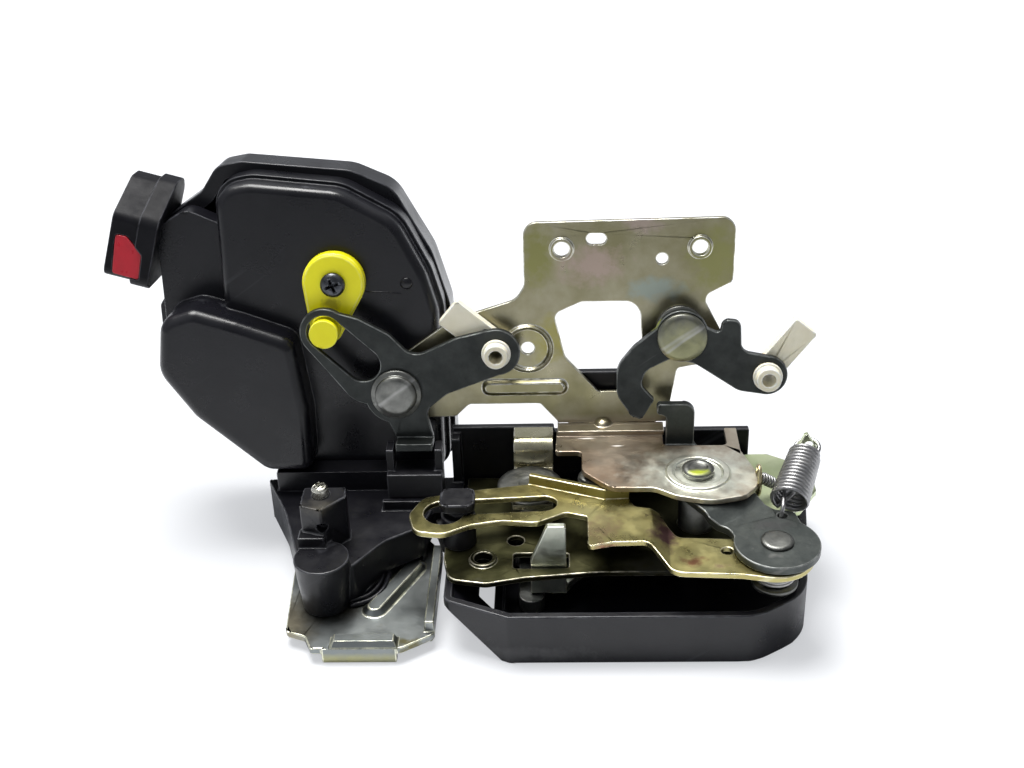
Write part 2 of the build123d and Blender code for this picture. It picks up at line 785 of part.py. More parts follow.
# Tension spring that draws the release lever back, and its anchor.
anchor_z = 23.4
anchor_eye = (50.6, 17.2, 37.0)
anchor_outline = [
    (34.0, 3.0),
    (47.0, 3.0),
    (53.0, 13.0),
    (53.0, 22.0),
    (47.0, 28.0),
    (42.0, 31.4),
    (34.0, 31.4),
]
anchor_hole_r = 1.3
spring_low = (43.4, -0.6, 31.0)
spring_low_r, spring_top_r, spring_wire = 5.2, 4.4, 1.2
spring_length = 17.0
spring_axis = Plane(
    origin=spring_low,
    z_dir=tuple(b - a for a, b in zip(spring_low, anchor_eye)),
)
with BuildPart() as spring_anchor:
    with BuildSketch(level(anchor_z)):
        outline(anchor_outline, [2.0, 2.0, 2.0, 2.0, 4.0, 4.0, 3.0])
    extrude(amount=sheet)
    block((38.0, 46.0), (22.4, 24.0), (base_top, anchor_z + sheet))
    block((38.0, 46.0), (22.4, 29.0), (base_top, base_top + sheet))
    # pointed tongue that takes the spring's end
    with BuildSketch(Plane.XZ.offset(-anchor_eye[1] - sheet / 2)):
        outline([(47.6, anchor_z), (53.0, anchor_z), (53.0, 36.0), (49.8, 41.2), (47.6, 36.0)], 0.6)
    extrude(amount=sheet)
    post(Plane.XZ.offset(-40), (anchor_eye[0], anchor_eye[2]), anchor_hole_r, 40.0, Mode.SUBTRACT)
save(spring_anchor, "spring_anchor")

# (start on the coil, way out of it, knee, tip) of the two end hooks
spring_hooks = [
    (
        1.0,
        -0.8,
        (spring_eye[0], spring_eye[1] + 0.2, 30.0),
        (spring_eye[0], spring_eye[1], 26.7),
    ),
    (
        spring_length - 1.0,
        spring_length + 0.6,
        (anchor_eye[0], anchor_eye[1] - 1.4, anchor_eye[2]),
        (anchor_eye[0], anchor_eye[1] + 2.4, anchor_eye[2]),
    ),
]
with BuildPart() as release_spring:
    with BuildSketch(spring_axis):
        Circle(spring_low_r)
    with BuildSketch(spring_axis.offset(spring_length)):
        Circle(spring_top_r)
    loft()
    with BuildSketch(spring_axis.offset(-1)):
        Circle(spring_top_r - spring_wire)
    extrude(amount=spring_length + 2, mode=Mode.SUBTRACT)
    for inside, outside, knee, tip in spring_hooks:
        start = spring_axis.offset(inside).origin
        with BuildLine() as hook:
            Polyline(
                tuple(start + spring_axis.x_dir * (spring_top_r - spring_wire / 4)),
                tuple(spring_axis.offset(outside).origin),
                knee,
                tip,
            )
        with BuildSketch(Plane(hook.line @ 0, z_dir=hook.line % 0)) as wire_face:
            Circle(spring_wire / 2)
        sweep(wire_face.sketch, path=hook.line, transition=Transition.RIGHT)
save(release_spring, "release_spring")

# ================================================================ lock chain
lever_front = lock_lever_h + lever_sheet
lock_tab_u = (-61.8, -51.6)
lock_tab_reach = 12.0
lock_slot_end = (-70.2, 21.6)
slider_x = (lock_tab_u[0] - 2.6, lock_tab_u[1] + 2.6)


def washer_head(centre, low, wide_r, head_r, head_height):
    """Washer with a riveted head on it, on the upright sheet."""
    post(upright(low), centre, wide_r, 1.0)
    post(upright(low + 1.0), centre, head_r, head_height)


with BuildPart() as lock_lever:
    with BuildSketch(upright(lock_lever_h)):
        disc(drive_pin, 6.8)
        disc(lock_rod_eye, 6.55)
        disc(lock_axis, 9.0)
        outline(
            [
                (-78.6, 37.2),
                (-70.6, 34.8),
                (-62.5, 30.2),
                (-56.4, 23.4),
                (-44.3, 28.9),
                (-35.2, 31.0),
                (-30.6, 18.9),
                (-47.2, 12.8),
                (-53.4, 8.0),
                (lock_tab_u[1], 0.0),
                (lock_tab_u[1], -1.9),
                (lock_tab_u[0], -1.9),
                (lock_tab_u[0], 0.0),
                (-66.0, 9.0),
                (-73.5, 11.2),
                (-79.8, 19.5),
                (-85.4, 26.6),
            ],
            [1.0, 6.0, 5.0, 5.0, 8.0, 1.0, 1.0, 6.0, 4.0, 0.8, 0.4, 0.4, 0.8, 4.0, 8.0, 6.0, 1.0],
        )
        disc(lock_axis, rivet_r + run, Mode.SUBTRACT)
        disc(lock_rod_eye, eye_r + run, Mode.SUBTRACT)
        slot_mid = [(a + b) / 2 for a, b in zip(drive_pin, lock_slot_end)]
        slot_angle = math.degrees(
            math.atan2(lock_slot_end[1] - drive_pin[1], lock_slot_end[0] - drive_pin[0])
        )
        with Locations(Location((slot_mid[0], slot_mid[1], 0), (0, 0, slot_angle))):
            SlotCenterToCenter(
                math.dist(drive_pin, lock_slot_end),
                2 * (drive_pin_r + drive_play),
                mode=Mode.SUBTRACT,
            )
    extrude(amount=lever_sheet)
    with BuildSketch(upright(lock_lever_h)):
        with Locations(((lock_tab_u[0] + lock_tab_u[1]) / 2, -0.9)):
            Rectangle(lock_tab_u[1] - lock_tab_u[0], 2.0)
    extrude(amount=lock_tab_reach - lock_lever_h)
save(lock_lever, "lock_lever")

with BuildPart() as lock_pivot:
    post(upright(0), lock_axis, 6.6, lock_lever_h - side_play)
    post(upright(0), lock_axis, rivet_r, lever_front + side_play + 1.0)
    washer_head(lock_axis, lever_front + side_play, 7.0, 5.7, 1.8)
save(lock_pivot, "lock_pivot")

with BuildPart() as lock_slider:
    block(slider_x, (18.6, 26.2), (web_top + 0.3, 27.4))
    block((slider_x[0], slider_x[0] + 2.0), (21.0, 26.2), (24.0, 34.0))
    block((slider_x[1] - 2.0, slider_x[1]), (21.0, 26.2), (24.0, 34.0))
save(lock_slider, "lock_slider")

handle_front = handle_lever_h + lever_sheet
with BuildPart() as handle_lever:
    with BuildSketch(upright(handle_lever_h)):
        disc(handle_axis, 7.2)
        disc(handle_rod_eye, 5.5)
        outline(
            [
                (10.4, 31.4),
                (4.0, 26.2),
                (-0.6, 20.5),
                (-0.8, 12.4),
                (3.4, 6.0),
                (6.2, 4.9),
                (9.7, 10.8),
                (6.0, 15.0),
                (7.2, 19.2),
                (14.0, 22.6),
                (20.5, 21.2),
                (32.6, 13.1),
                (40.0, 11.9),
                (42.0, 22.6),
                (33.2, 24.4),
                (32.8, 33.0),
                (28.0, 33.6),
                (27.2, 29.6),
                (20.0, 33.0),
            ],
            [1, 6, 8, 8, 2, 1.2, 0.6, 2.4, 4, 3, 8, 6, 0.6, 1, 3, 2, 2, 1, 1],
        )
        disc(handle_axis, rivet_r + run, Mode.SUBTRACT)
        disc(handle_rod_eye, eye_r + run, Mode.SUBTRACT)
    extrude(amount=lever_sheet)
save(handle_lever, "handle_lever")

with BuildPart() as handle_pivot:
    post(upright(0), handle_axis, 6.6, 1.8)
    post(upright(0), handle_axis, rivet_r, handle_front + side_play + 1.0)
    post(upright(handle_front + side_play), handle_axis, 6.7, 2.0)
save(handle_pivot, "handle_pivot")

with BuildPart() as handle_spring:
    coil(
        Plane(upright(1.9).from_local_coords((*handle_axis, 0)), (1, 0, 0), upright().z_dir),
        rivet_r + 0.4,
        1.1,
        2,
    )
save(handle_spring, "handle_spring")

clip_thick = 3.4
rod_r = 1.85


def rod_clip(eye, lever_low, angle, wide, reach):
    """Plastic clip snapped through a lever's eye, with a bore for the rod's end."""
    low = lever_low - side_play - clip_thick
    high = lever_low + lever_sheet + side_play
    middle = toward(eye, angle, reach / 2)
    with BuildSketch(upright(low)) as arm:
        disc(eye, 4.4)
        with Locations(Location((middle[0], middle[1], 0), (0, 0, angle))):
            RectangleRounded(reach, wide, 0.8)
    extrude(arm.sketch, amount=clip_thick)
    post(upright(low), eye, eye_r, high + 4.0 - low)
    post(upright(high), eye, eye_r + 0.7, 1.3)
    post(upright(low - 1), eye, rod_r, 20.0, Mode.SUBTRACT)


with BuildPart() as lock_rod_clip:
    rod_clip(lock_rod_eye, lock_lever_h, 140.0, 8.4, 17.2)
save(lock_rod_clip, "lock_rod_clip")

with BuildPart() as handle_rod_clip:
    rod_clip(handle_rod_eye, handle_lever_h, 51.0, 7.4, 16.8)
save(handle_rod_clip, "handle_rod_clip")

# ================================================================ motor unit
pin_top = 8.3
facing = Axis((0, fold_y, fold_z), upright().z_dir)
with BuildPart() as output_lever:
    with BuildSketch(upright(deck + 0.4)):
        with Locations(output_axis):
            Circle(8.6)
        with Locations(drive_pin):
            Circle(4.6)
        make_hull()
    extrude(amount=1.8 - deck)
    chamfer(output_lever.faces().sort_by(facing)[-1].edges(), 0.7)
    post(upright(1.0), drive_pin, drive_pin_r, pin_top - 1.0)
    post(upright(-10), output_axis, 1.6, 20.0, Mode.SUBTRACT)
save(output_lever, "output_lever")

with BuildPart() as output_screw:
    post(upright(2.2), output_axis, 3.4, 2.0)
    post(upright(-8.0), output_axis, 1.5, 10.2)
save(output_screw, "output_screw")

shaft_r = 4.0
idler_axis = toward(output_axis, train_angle, thick_module * (sector_teeth + idler_small_teeth) / 2)
motor_axis = toward(idler_axis, train_angle, fine_module * (idler_large_teeth + pinion_teeth) / 2)
with BuildPart() as output_shaft:
    post(upright(shell_back + 2.2), output_axis, shaft_r, deck + 0.4 - shell_back - 2.2)
    with BuildSketch(upright(-19.0)):
        gear_outline(
            output_axis, sector_teeth, thick_module, train_angle - 360.0 / sector_teeth, 9
        )
    extrude(amount=4.0)
    post(upright(-8.0), output_axis, 1.5, 10.0, Mode.SUBTRACT)
save(output_shaft, "output_shaft")

with BuildPart() as idler_gear:
    with BuildSketch(upright(-23.5)):
        gear_outline(
            idler_axis,
            idler_large_teeth,
            fine_module,
            train_angle + 180.0 / idler_large_teeth,
        )
    extrude(amount=3.0)
    with BuildSketch(upright(-20.5)):
        gear_outline(
            idler_axis,
            idler_small_teeth,
            thick_module,
            train_angle - 180.0 + 180.0 / idler_small_teeth,
        )
    extrude(amount=6.5)
    post(upright(shell_back), idler_axis, 1.5 + run, 30.0, Mode.SUBTRACT)
save(idler_gear, "idler_gear")

with BuildPart() as idler_pin:
    post(upright(shell_back + 2.0), idler_axis, 1.5, deck - 2.2 - shell_back - 2.0)
save(idler_pin, "idler_pin")

with BuildPart() as motor:
    post(upright(motor_low), motor_axis, motor_r, motor_length)
    post(upright(motor_low - 1.2), motor_axis, 3.2, 2.0)
    post(upright(motor_low - 8.6), motor_axis, 1.0, 9.0)
save(motor, "motor")

with BuildPart() as motor_pinion:
    with BuildSketch(upright(-24.8)):
        gear_outline(motor_axis, pinion_teeth, fine_module, train_angle - 180.0)
        disc(motor_axis, 1.0 + run, Mode.SUBTRACT)
    extrude(amount=5.4)
save(motor_pinion, "motor_pinion")

# Housing: two shells joined by screws from the back.
chamber = [
    (-109.2, 69.0),
    (-100.0, 70.8),
    (-75.1, 68.0),
    (-60.1, 59.5),
    (-52.6, 44.5),
    (-49.6, 34.0),
    (-49.6, -14.0),
    (-98.0, -14.0),
    (-109.2, 0.0),
]
chamber_corners = [7.0, 12.0, 12.0, 12.0, 14.0, 12.0, 4.0, 7.0, 6.0]
hump = [
    (-127.0, 20.0),
    (-125.0, 35.6),
    (-116.0, 38.2),
    (-104.0, 34.6),
    (-89.0, 29.0),
    (-86.0, 8.0),
    (-86.0, -9.5),
    (-99.0, -9.5),
    (-118.0, 7.0),
]
hump_corners = [8.0, 6.0, 5.0, 10.0, 5.0, 8.0, 3.0, 6.0, 8.0]
pod = [(-127.4, 57.5), (-119.0, 62.8), (-104.0, 56.0), (-104.0, 20.0), (-127.4, 20.0)]
pod_corners = [5.0, 5.0, 1.0, 1.0, 1.0]
lip_top, pod_top = -9.0, -8.0
rear_rim = [
    (-115.8, 65.9),
    (-111.0, 73.0),
    (-104.0, 74.2),
    (-73.6, 71.2),
    (-62.0, 66.0),
    (-51.7, 47.4),
    (-47.2, 31.9),
    (-47.2, -14.6),
    (-98.0, -14.6),
    (-103.0, -9.0),
    (-119.0, 4.0),
    (-131.0, 17.0),
    (-131.0, 33.0),
    (-127.6, 38.0),
    (-127.6, 58.0),
]
rear_corners = [4.0, 5.0, 5.0, 12.0, 10.0, 14.0, 10.0, 4.0, 4.0, 4.0, 8.0, 8.0, 2.0, 2.0, 4.0]
screw_points = [(-55.5, -8.0), (-57.8, 40.0), (-103.0, 63.0), (-93.0, -5.0), (-120.6, 25.0)]
hump_screws = screw_points[3:]


def layer(points, corners, low, high, inset=0.0, mode=Mode.ADD):
    """A housing outline as a block from low to high, drawn in by inset."""
    with BuildSketch(upright(low)) as face:
        outline(points, corners)
        if inset:
            offset(amount=-inset, kind=Kind.INTERSECTION)
    extrude(face.sketch, amount=high - low, mode=mode)


with BuildPart() as hump_block:
    layer(hump, hump_corners, part_line, hump_h)
    fillet(hump_block.faces().sort_by(facing)[-1].edges(), 3.0)

with BuildPart() as front_shell:
    layer(chamber, chamber_corners, part_line, deck)
    fillet(front_shell.faces().sort_by(facing)[-1].edges(), 2.4)
    layer(chamber, chamber_corners, part_line, lip_top, -1.2)
    layer(pod, pod_corners, part_line, pod_top)
    add(hump_block.part)
    layer(chamber, chamber_corners, part_line, deck - shell_wall, shell_wall, Mode.SUBTRACT)
    layer(pod, pod_corners, part_line, pod_top - shell_wall, shell_wall, Mode.SUBTRACT)
    layer(hump, hump_corners, part_line, hump_h - shell_wall, shell_wall, Mode.SUBTRACT)
    for at in screw_points:
        roof = hump_h if at in hump_screws else deck
        post(upright(part_line), at, 3.2, roof - 0.5 - part_line)
    post(upright(-8.0), output_axis, shaft_r + 3.0, deck + 8.0)
    post(upright(-20.0), output_axis, shaft_r + run, 30.0, Mode.SUBTRACT)
    for at in screw_points:
        post(upright(part_line), at, 1.3, 7.0, Mode.SUBTRACT)
save(front_shell, "front_shell")

with BuildPart() as rear_shell:
    layer(rear_rim, rear_corners, shell_back, part_line)
    layer(rear_rim, rear_corners, shell_back + shell_wall, part_line, shell_wall + flange, Mode.SUBTRACT)
    for at in screw_points:
        post(upright(shell_back), at, 4.4, part_line - shell_back)
    post(upright(shell_back), output_axis, shaft_r + 1.5, 3.6)
    post(upright(shell_back), idler_axis, 3.4, 3.8)
    post(upright(shell_back + 2.0), idler_axis, 1.5, 4.0, Mode.SUBTRACT)
    post(upright(shell_back + 2.1), output_axis, shaft_r + run, 10.0, Mode.SUBTRACT)
    for at in screw_points:
        post(upright(shell_back), at, 1.8, 20.0, Mode.SUBTRACT)
        post(upright(shell_back), at, 3.2, 3.0, Mode.SUBTRACT)
save(rear_shell, "rear_shell")

with BuildPart() as shell_screws:
    for at in screw_points:
        post(upright(shell_back + 1.0), at, 2.9, 2.0)
        post(upright(shell_back + 1.0), at, 1.3, part_line - shell_back + 5.0)
save(shell_screws, "shell_screws")

# Plug socket on the pod's side, its axis 16 degrees above the case.
socket_angle = math.radians(16.0)
socket_at = (-127.0, 50.3)
socket_mouth, socket_depth, socket_wall = 13.6, 11.1, 1.8
socket_dir = (
    upright().from_local_coords((-math.cos(socket_angle), math.sin(socket_angle), 0))
    - upright().origin
)
socket_plane = Plane(
    upright().from_local_coords((*socket_at, 0)), upright().z_dir, socket_dir
)
socket_section = [(-3.0, -8.8), (-3.0, 9.4), (-17.0, 17.4), (-27.0, 17.4), (-27.0, -8.8)]
socket_corners = [3.0, 3.0, 4.0, 4.0, 3.0]


def socket_layer(start, end, inset=0.0, mode=Mode.ADD):
    """Plug socket section as a block between two distances along its axis."""
    side = -1.0 if socket_plane.y_dir.Z < 0 else 1.0
    with BuildSketch(socket_plane.offset(start)) as face:
        outline([(h, t * side) for h, t in socket_section], socket_corners)
        if inset:
            offset(amount=-inset, kind=Kind.INTERSECTION)
    extrude(face.sketch, amount=end - start, mode=mode)


wedge = [(-139.6, 46.4), (-137.4, 57.2), (-134.4, 56.6), (-130.8, 51.2), (-132.4, 44.2)]
wedge_corners = [0.8, 0.8, 1.0, 1.0, 0.8]
wedge_low, wedge_high = -4.4, -2.7
with BuildPart() as plug_socket:
    socket_layer(0.6, socket_mouth)
    socket_layer(0.6, 6.0, -1.1)
    socket_layer(socket_mouth - socket_depth, socket_mouth, socket_wall, Mode.SUBTRACT)
    layer(rear_rim, rear_corners, shell_back - 1, part_line, 0.0, Mode.SUBTRACT)
    layer(pod, pod_corners, part_line, pod_top, 0.0, Mode.SUBTRACT)
    layer(wedge, wedge_corners, wedge_low, 0.0, -0.1, Mode.SUBTRACT)
save(plug_socket, "plug_socket")

pin_w, pin_long, pin_pitch = 0.64, 7.4, 2.6
up_sign = 1.0 if socket_plane.y_dir.Z > 0 else -1.0
with BuildPart() as socket_pins:
    with BuildSketch(socket_plane.offset(socket_mouth - socket_depth)) as pin_feet:
        for i in range(5):
            for height in (-22.0, -15.0, -8.0):
                with Locations((height, (pin_pitch * i - 4.0) * up_sign)):
                    Rectangle(pin_w, pin_w)
    extrude(amount=pin_long)
save(socket_pins, "socket_pins")

with BuildPart() as lock_wedge:
    layer(wedge, wedge_corners, wedge_low, wedge_high)
save(lock_wedge, "lock_wedge")
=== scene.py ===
"""Door latch actuator, dressed for rendering: a car door's latch with its lock motor unit."""
import math

import bmesh
import bpy
from mathutils import Matrix, Vector
from mathutils.bvhtree import BVHTree


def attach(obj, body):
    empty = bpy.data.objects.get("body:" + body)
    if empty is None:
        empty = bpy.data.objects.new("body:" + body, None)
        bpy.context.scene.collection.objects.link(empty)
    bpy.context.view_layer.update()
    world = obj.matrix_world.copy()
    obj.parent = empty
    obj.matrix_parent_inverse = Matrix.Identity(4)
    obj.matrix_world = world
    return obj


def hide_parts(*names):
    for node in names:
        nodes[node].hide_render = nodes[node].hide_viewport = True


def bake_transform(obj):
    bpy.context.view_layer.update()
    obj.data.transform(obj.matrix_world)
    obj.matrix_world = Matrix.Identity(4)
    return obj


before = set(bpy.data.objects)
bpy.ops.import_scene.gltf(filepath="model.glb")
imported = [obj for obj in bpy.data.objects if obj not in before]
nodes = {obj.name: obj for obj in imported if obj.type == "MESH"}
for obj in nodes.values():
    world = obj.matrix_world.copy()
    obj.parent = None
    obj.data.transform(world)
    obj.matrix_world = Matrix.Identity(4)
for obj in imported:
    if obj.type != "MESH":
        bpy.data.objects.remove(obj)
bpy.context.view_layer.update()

# ------------------------------------------------------------------ camera
# A hand-held camera with a fairly long lens, about 0.4 m from the latch and
# looking down at it by 30 degrees.
PICTURE_WIDTH = 1024
FOCAL_LENGTH = 1450            # in the same pixels as the picture's width
CAMERA_AT = (-0.01424, -0.31478, 0.24883)
HEADING = math.radians(2.5)
TILT = math.radians(60.0)
ROLL = math.radians(-2.0)
view = bpy.data.cameras.new("bench_view")
view.sensor_width = 36.0
view.lens = view.sensor_width * FOCAL_LENGTH / PICTURE_WIDTH
view.clip_start = 0.01
camera = bpy.data.objects.new("bench_view", view)
bpy.context.scene.collection.objects.link(camera)
camera.matrix_world = (
    Matrix.Translation(CAMERA_AT)
    @ Matrix.Rotation(HEADING, 4, "Z")
    @ Matrix.Rotation(TILT, 4, "X")
    @ Matrix.Rotation(ROLL, 4, "Z")
)
bpy.context.scene.camera = camera
bpy.context.scene.view_settings.view_transform = "Standard"

# ------------------------------------------------------------------ bench and light
# A white bench top under a large soft lamp, in a room that is bright overhead
# and darker behind the viewer.  Shadows on the bench are pale.
BENCH_REACH = 4.0              # from the latch to each of the bench's sides
BENCH_GLOW = 0.52              # how much of what the camera sees of it is glow
BRIGHT_WAY = (-0.10, 0.42, 0.90)


def new_material(name):
    """A material with its node tree and its shader."""
    material = bpy.data.materials.new(name)
    material.use_nodes = True
    tree = material.node_tree
    shader = tree.nodes["Principled BSDF"]
    return material, tree, shader


def add_node(tree, kind, **settings):
    """Add a node; a setting is a property, or a socket's value by its name."""
    node = tree.nodes.new(kind)
    for key, value in settings.items():
        if hasattr(node, key):
            setattr(node, key, value)
        else:
            node.inputs[key.replace("_", " ")].default_value = value
    return node


bench_mesh = bpy.data.meshes.new("bench")
bench_mesh.from_pydata(
    [(x * BENCH_REACH, y * BENCH_REACH, 0) for x, y in ((-1, -1), (1, -1), (1, 1), (-1, 1))],
    [], [(0, 1, 2, 3)],
)
bench = bpy.data.objects.new("bench", bench_mesh)
bpy.context.scene.collection.objects.link(bench)
bench_white, tree, shader = new_material("bench_white")
cloud = add_node(tree, "ShaderNodeTexNoise", Scale=3.0, Detail=3.0)
tone = add_node(tree, "ShaderNodeValToRGB")
tone.color_ramp.elements[0].color = (0.78, 0.80, 0.84, 1)
tone.color_ramp.elements[1].color = (0.84, 0.85, 0.87, 1)
where = add_node(tree, "ShaderNodeTexCoord")
tree.links.new(where.outputs["Object"], cloud.inputs["Vector"])
tree.links.new(cloud.outputs["Fac"], tone.inputs["Fac"])
tree.links.new(tone.outputs["Color"], shader.inputs["Base Color"])
shader.inputs["Roughness"].default_value = 0.7
# seen directly, the bench glows a little, as an overexposed sheet of paper does
glow = add_node(tree, "ShaderNodeEmission", Strength=1.0)
glow.inputs["Color"].default_value = (0.96, 0.975, 1.0, 1)
seen_by = add_node(tree, "ShaderNodeLightPath")
share = add_node(tree, "ShaderNodeMath", operation="MULTIPLY")
share.inputs[1].default_value = BENCH_GLOW
both = add_node(tree, "ShaderNodeMixShader")
tree.links.new(seen_by.outputs["Is Camera Ray"], share.inputs[0])
tree.links.new(share.outputs["Value"], both.inputs["Fac"])
tree.links.new(shader.outputs["BSDF"], both.inputs[1])
tree.links.new(glow.outputs["Emission"], both.inputs[2])
tree.links.new(both.outputs["Shader"], tree.nodes["Material Output"].inputs["Surface"])
bench_mesh.materials.append(bench_white)

world = bpy.data.worlds.new("room")
bpy.context.scene.world = world
world.use_nodes = True
room = world.node_tree
room.nodes.clear()
out = add_node(room, "ShaderNodeOutputWorld")
seen = add_node(room, "ShaderNodeBackground", Strength=1.0)
seen.inputs["Color"].default_value = (0.96, 0.97, 0.98, 1)
lit = add_node(room, "ShaderNodeBackground", Strength=1.0)
heading = add_node(room, "ShaderNodeTexCoord")
toward_light = add_node(room, "ShaderNodeVectorMath", operation="DOT_PRODUCT")
toward_light.inputs[1].default_value = BRIGHT_WAY
sky = add_node(room, "ShaderNodeValToRGB")
sky.color_ramp.elements[0].position = 0.12
sky.color_ramp.elements[0].color = (0.07, 0.075, 0.09, 1)
sky.color_ramp.elements[1].position = 1.0
sky.color_ramp.elements[1].color = (0.95, 0.97, 1.0, 1)
sky.color_ramp.elements.new(0.88).color = (0.36, 0.37, 0.39, 1)
half = add_node(room, "ShaderNodeMapRange")
half.inputs["From Min"].default_value = -1.0
room.links.new(heading.outputs["Generated"], toward_light.inputs[0])
room.links.new(toward_light.outputs["Value"], half.inputs["Value"])
room.links.new(half.outputs["Result"], sky.inputs["Fac"])
room.links.new(sky.outputs["Color"], lit.inputs["Color"])
path = add_node(room, "ShaderNodeLightPath")
choose = add_node(room, "ShaderNodeMixShader")
room.links.new(path.outputs["Is Camera Ray"], choose.inputs["Fac"])
room.links.new(lit.outputs["Background"], choose.inputs[1])
room.links.new(seen.outputs["Background"], choose.inputs[2])
room.links.new(choose.outputs["Shader"], out.inputs["Surface"])


def soft_lamp(name, place, aim, size, power, tint):
    """A rectangular soft lamp that points at aim."""
    lamp = bpy.data.lights.new(name, "AREA")
    lamp.shape = "RECTANGLE"
    lamp.size, lamp.size_y = size
    lamp.energy = power
    lamp.color = tint
    holder = bpy.data.objects.new(name, lamp)
    bpy.context.scene.collection.objects.link(holder)
    turn = (Vector(aim) - Vector(place)).to_track_quat("-Z", "Y")
    holder.matrix_world = Matrix.Translation(place) @ turn.to_matrix().to_4x4()


soft_lamp("ceiling_lamp", (-0.2, 0.25, 1.1), (0, 0.02, 0.04), (0.6, 0.5), 19.5, (1.0, 0.99, 0.97))
soft_lamp("window_lamp", (-0.9, -0.7, 0.8), (0, 0, 0.05), (1.2, 1.2), 1.5, (0.95, 0.98, 1.0))

# ------------------------------------------------------------------ surface effects
# Shader groups that the finishes share: cloudy patches, fine scratches, grain
# and ragged stains.  Each gives only a mask or a normal.
MM = 0.001                     # the frame is in metres, sizes here are in mm


def new_group(name, inputs, outputs):
    """A shader node group with named inputs and outputs of the given kinds."""
    group = bpy.data.node_groups.new(name, "ShaderNodeTree")
    for label, value in inputs:
        kind = "NodeSocketVector" if isinstance(value, tuple) else "NodeSocketFloat"
        socket = group.interface.new_socket(label, in_out="INPUT", socket_type=kind)
        socket.default_value = value
    for label, kind in outputs:
        group.interface.new_socket(label, in_out="OUTPUT", socket_type=kind)
    return group, group.nodes.new("NodeGroupInput"), group.nodes.new("NodeGroupOutput")


# mottle: cloudy patches, as plating, dust and grease leave
mottle, given, result = new_group(
    "mottle",
    [("Scale", 60.0), ("Low", 0.4), ("High", 0.6), ("Seed", 0.0)],
    [("Mask", "NodeSocketFloat")],
)
spot = add_node(mottle, "ShaderNodeTexCoord")
shift = add_node(mottle, "ShaderNodeVectorMath")
noise = add_node(mottle, "ShaderNodeTexNoise", Detail=6.0, Roughness=0.62)
stretch = add_node(mottle, "ShaderNodeMapRange")
mottle.links.new(spot.outputs["Object"], shift.inputs[0])
mottle.links.new(given.outputs["Seed"], shift.inputs[1])
mottle.links.new(shift.outputs["Vector"], noise.inputs["Vector"])
mottle.links.new(given.outputs["Scale"], noise.inputs["Scale"])
mottle.links.new(noise.outputs["Fac"], stretch.inputs["Value"])
mottle.links.new(given.outputs["Low"], stretch.inputs["From Min"])
mottle.links.new(given.outputs["High"], stretch.inputs["From Max"])
mottle.links.new(stretch.outputs["Result"], result.inputs["Mask"])

# scratches: sparse thin lines in one direction
scratches, given, result = new_group(
    "scratches",
    [("Scale", 200.0), ("Angle", 0.6), ("Amount", 0.62)],
    [("Mask", "NodeSocketFloat")],
)
spot = add_node(scratches, "ShaderNodeTexCoord")
turn = add_node(scratches, "ShaderNodeVectorRotate", rotation_type="Y_AXIS")
squeeze = add_node(scratches, "ShaderNodeVectorMath", operation="MULTIPLY")
squeeze.inputs[1].default_value = (0.035, 0.5, 1.0)
noise = add_node(scratches, "ShaderNodeTexNoise", Detail=2.0)
cut = add_node(scratches, "ShaderNodeMapRange")
cut.inputs["From Max"].default_value = 0.8
scratches.links.new(spot.outputs["Object"], turn.inputs["Vector"])
scratches.links.new(given.outputs["Angle"], turn.inputs["Angle"])
scratches.links.new(turn.outputs["Vector"], squeeze.inputs[0])
scratches.links.new(squeeze.outputs["Vector"], noise.inputs["Vector"])
scratches.links.new(given.outputs["Scale"], noise.inputs["Scale"])
scratches.links.new(noise.outputs["Fac"], cut.inputs["Value"])
scratches.links.new(given.outputs["Amount"], cut.inputs["From Min"])
scratches.links.new(cut.outputs["Result"], result.inputs["Mask"])

# grain: a fine bump, as a spark-eroded mould or rolled sheet has
grain, given, result = new_group(
    "grain",
    [("Scale", 900.0), ("Strength", 0.1), ("Depth", 0.0002)],
    [("Normal", "NodeSocketVector")],
)
spot = add_node(grain, "ShaderNodeTexCoord")
noise = add_node(grain, "ShaderNodeTexNoise", Detail=4.0)
bump = add_node(grain, "ShaderNodeBump")
grain.links.new(spot.outputs["Object"], noise.inputs["Vector"])
grain.links.new(given.outputs["Scale"], noise.inputs["Scale"])
grain.links.new(noise.outputs["Fac"], bump.inputs["Height"])
grain.links.new(given.outputs["Strength"], bump.inputs["Strength"])
grain.links.new(given.outputs["Depth"], bump.inputs["Distance"])
grain.links.new(bump.outputs["Normal"], result.inputs["Normal"])

# blot: a ragged patch round a place, as grease, rust or a dab of paint leaves, and also the
# bracket's painted highlight
stain_and_highlight_blot, given, result = new_group(
    "stain_and_highlight_blot",
    [("Place", (0.0, 0.0, 0.0)), ("Size", (0.01, 0.01, 0.01)), ("Ragged", 0.6), ("Scale", 300.0)],
    [("Mask", "NodeSocketFloat")],
)
spot = add_node(stain_and_highlight_blot, "ShaderNodeTexCoord")
offset = add_node(stain_and_highlight_blot, "ShaderNodeVectorMath", operation="SUBTRACT")
ratio = add_node(stain_and_highlight_blot, "ShaderNodeVectorMath", operation="DIVIDE")
reach = add_node(stain_and_highlight_blot, "ShaderNodeVectorMath", operation="LENGTH")
noise = add_node(stain_and_highlight_blot, "ShaderNodeTexNoise", Detail=5.0, Roughness=0.6)
wander = add_node(stain_and_highlight_blot, "ShaderNodeMapRange")
wander.inputs["To Min"].default_value = -1.0
ragged = add_node(stain_and_highlight_blot, "ShaderNodeMath", operation="MULTIPLY")
sum_up = add_node(stain_and_highlight_blot, "ShaderNodeMath", operation="ADD")
soft = add_node(stain_and_highlight_blot, "ShaderNodeMapRange")
soft.inputs["From Min"].default_value = 1.0
soft.inputs["From Max"].default_value = 0.35
stain_and_highlight_blot.links.new(spot.outputs["Object"], offset.inputs[0])
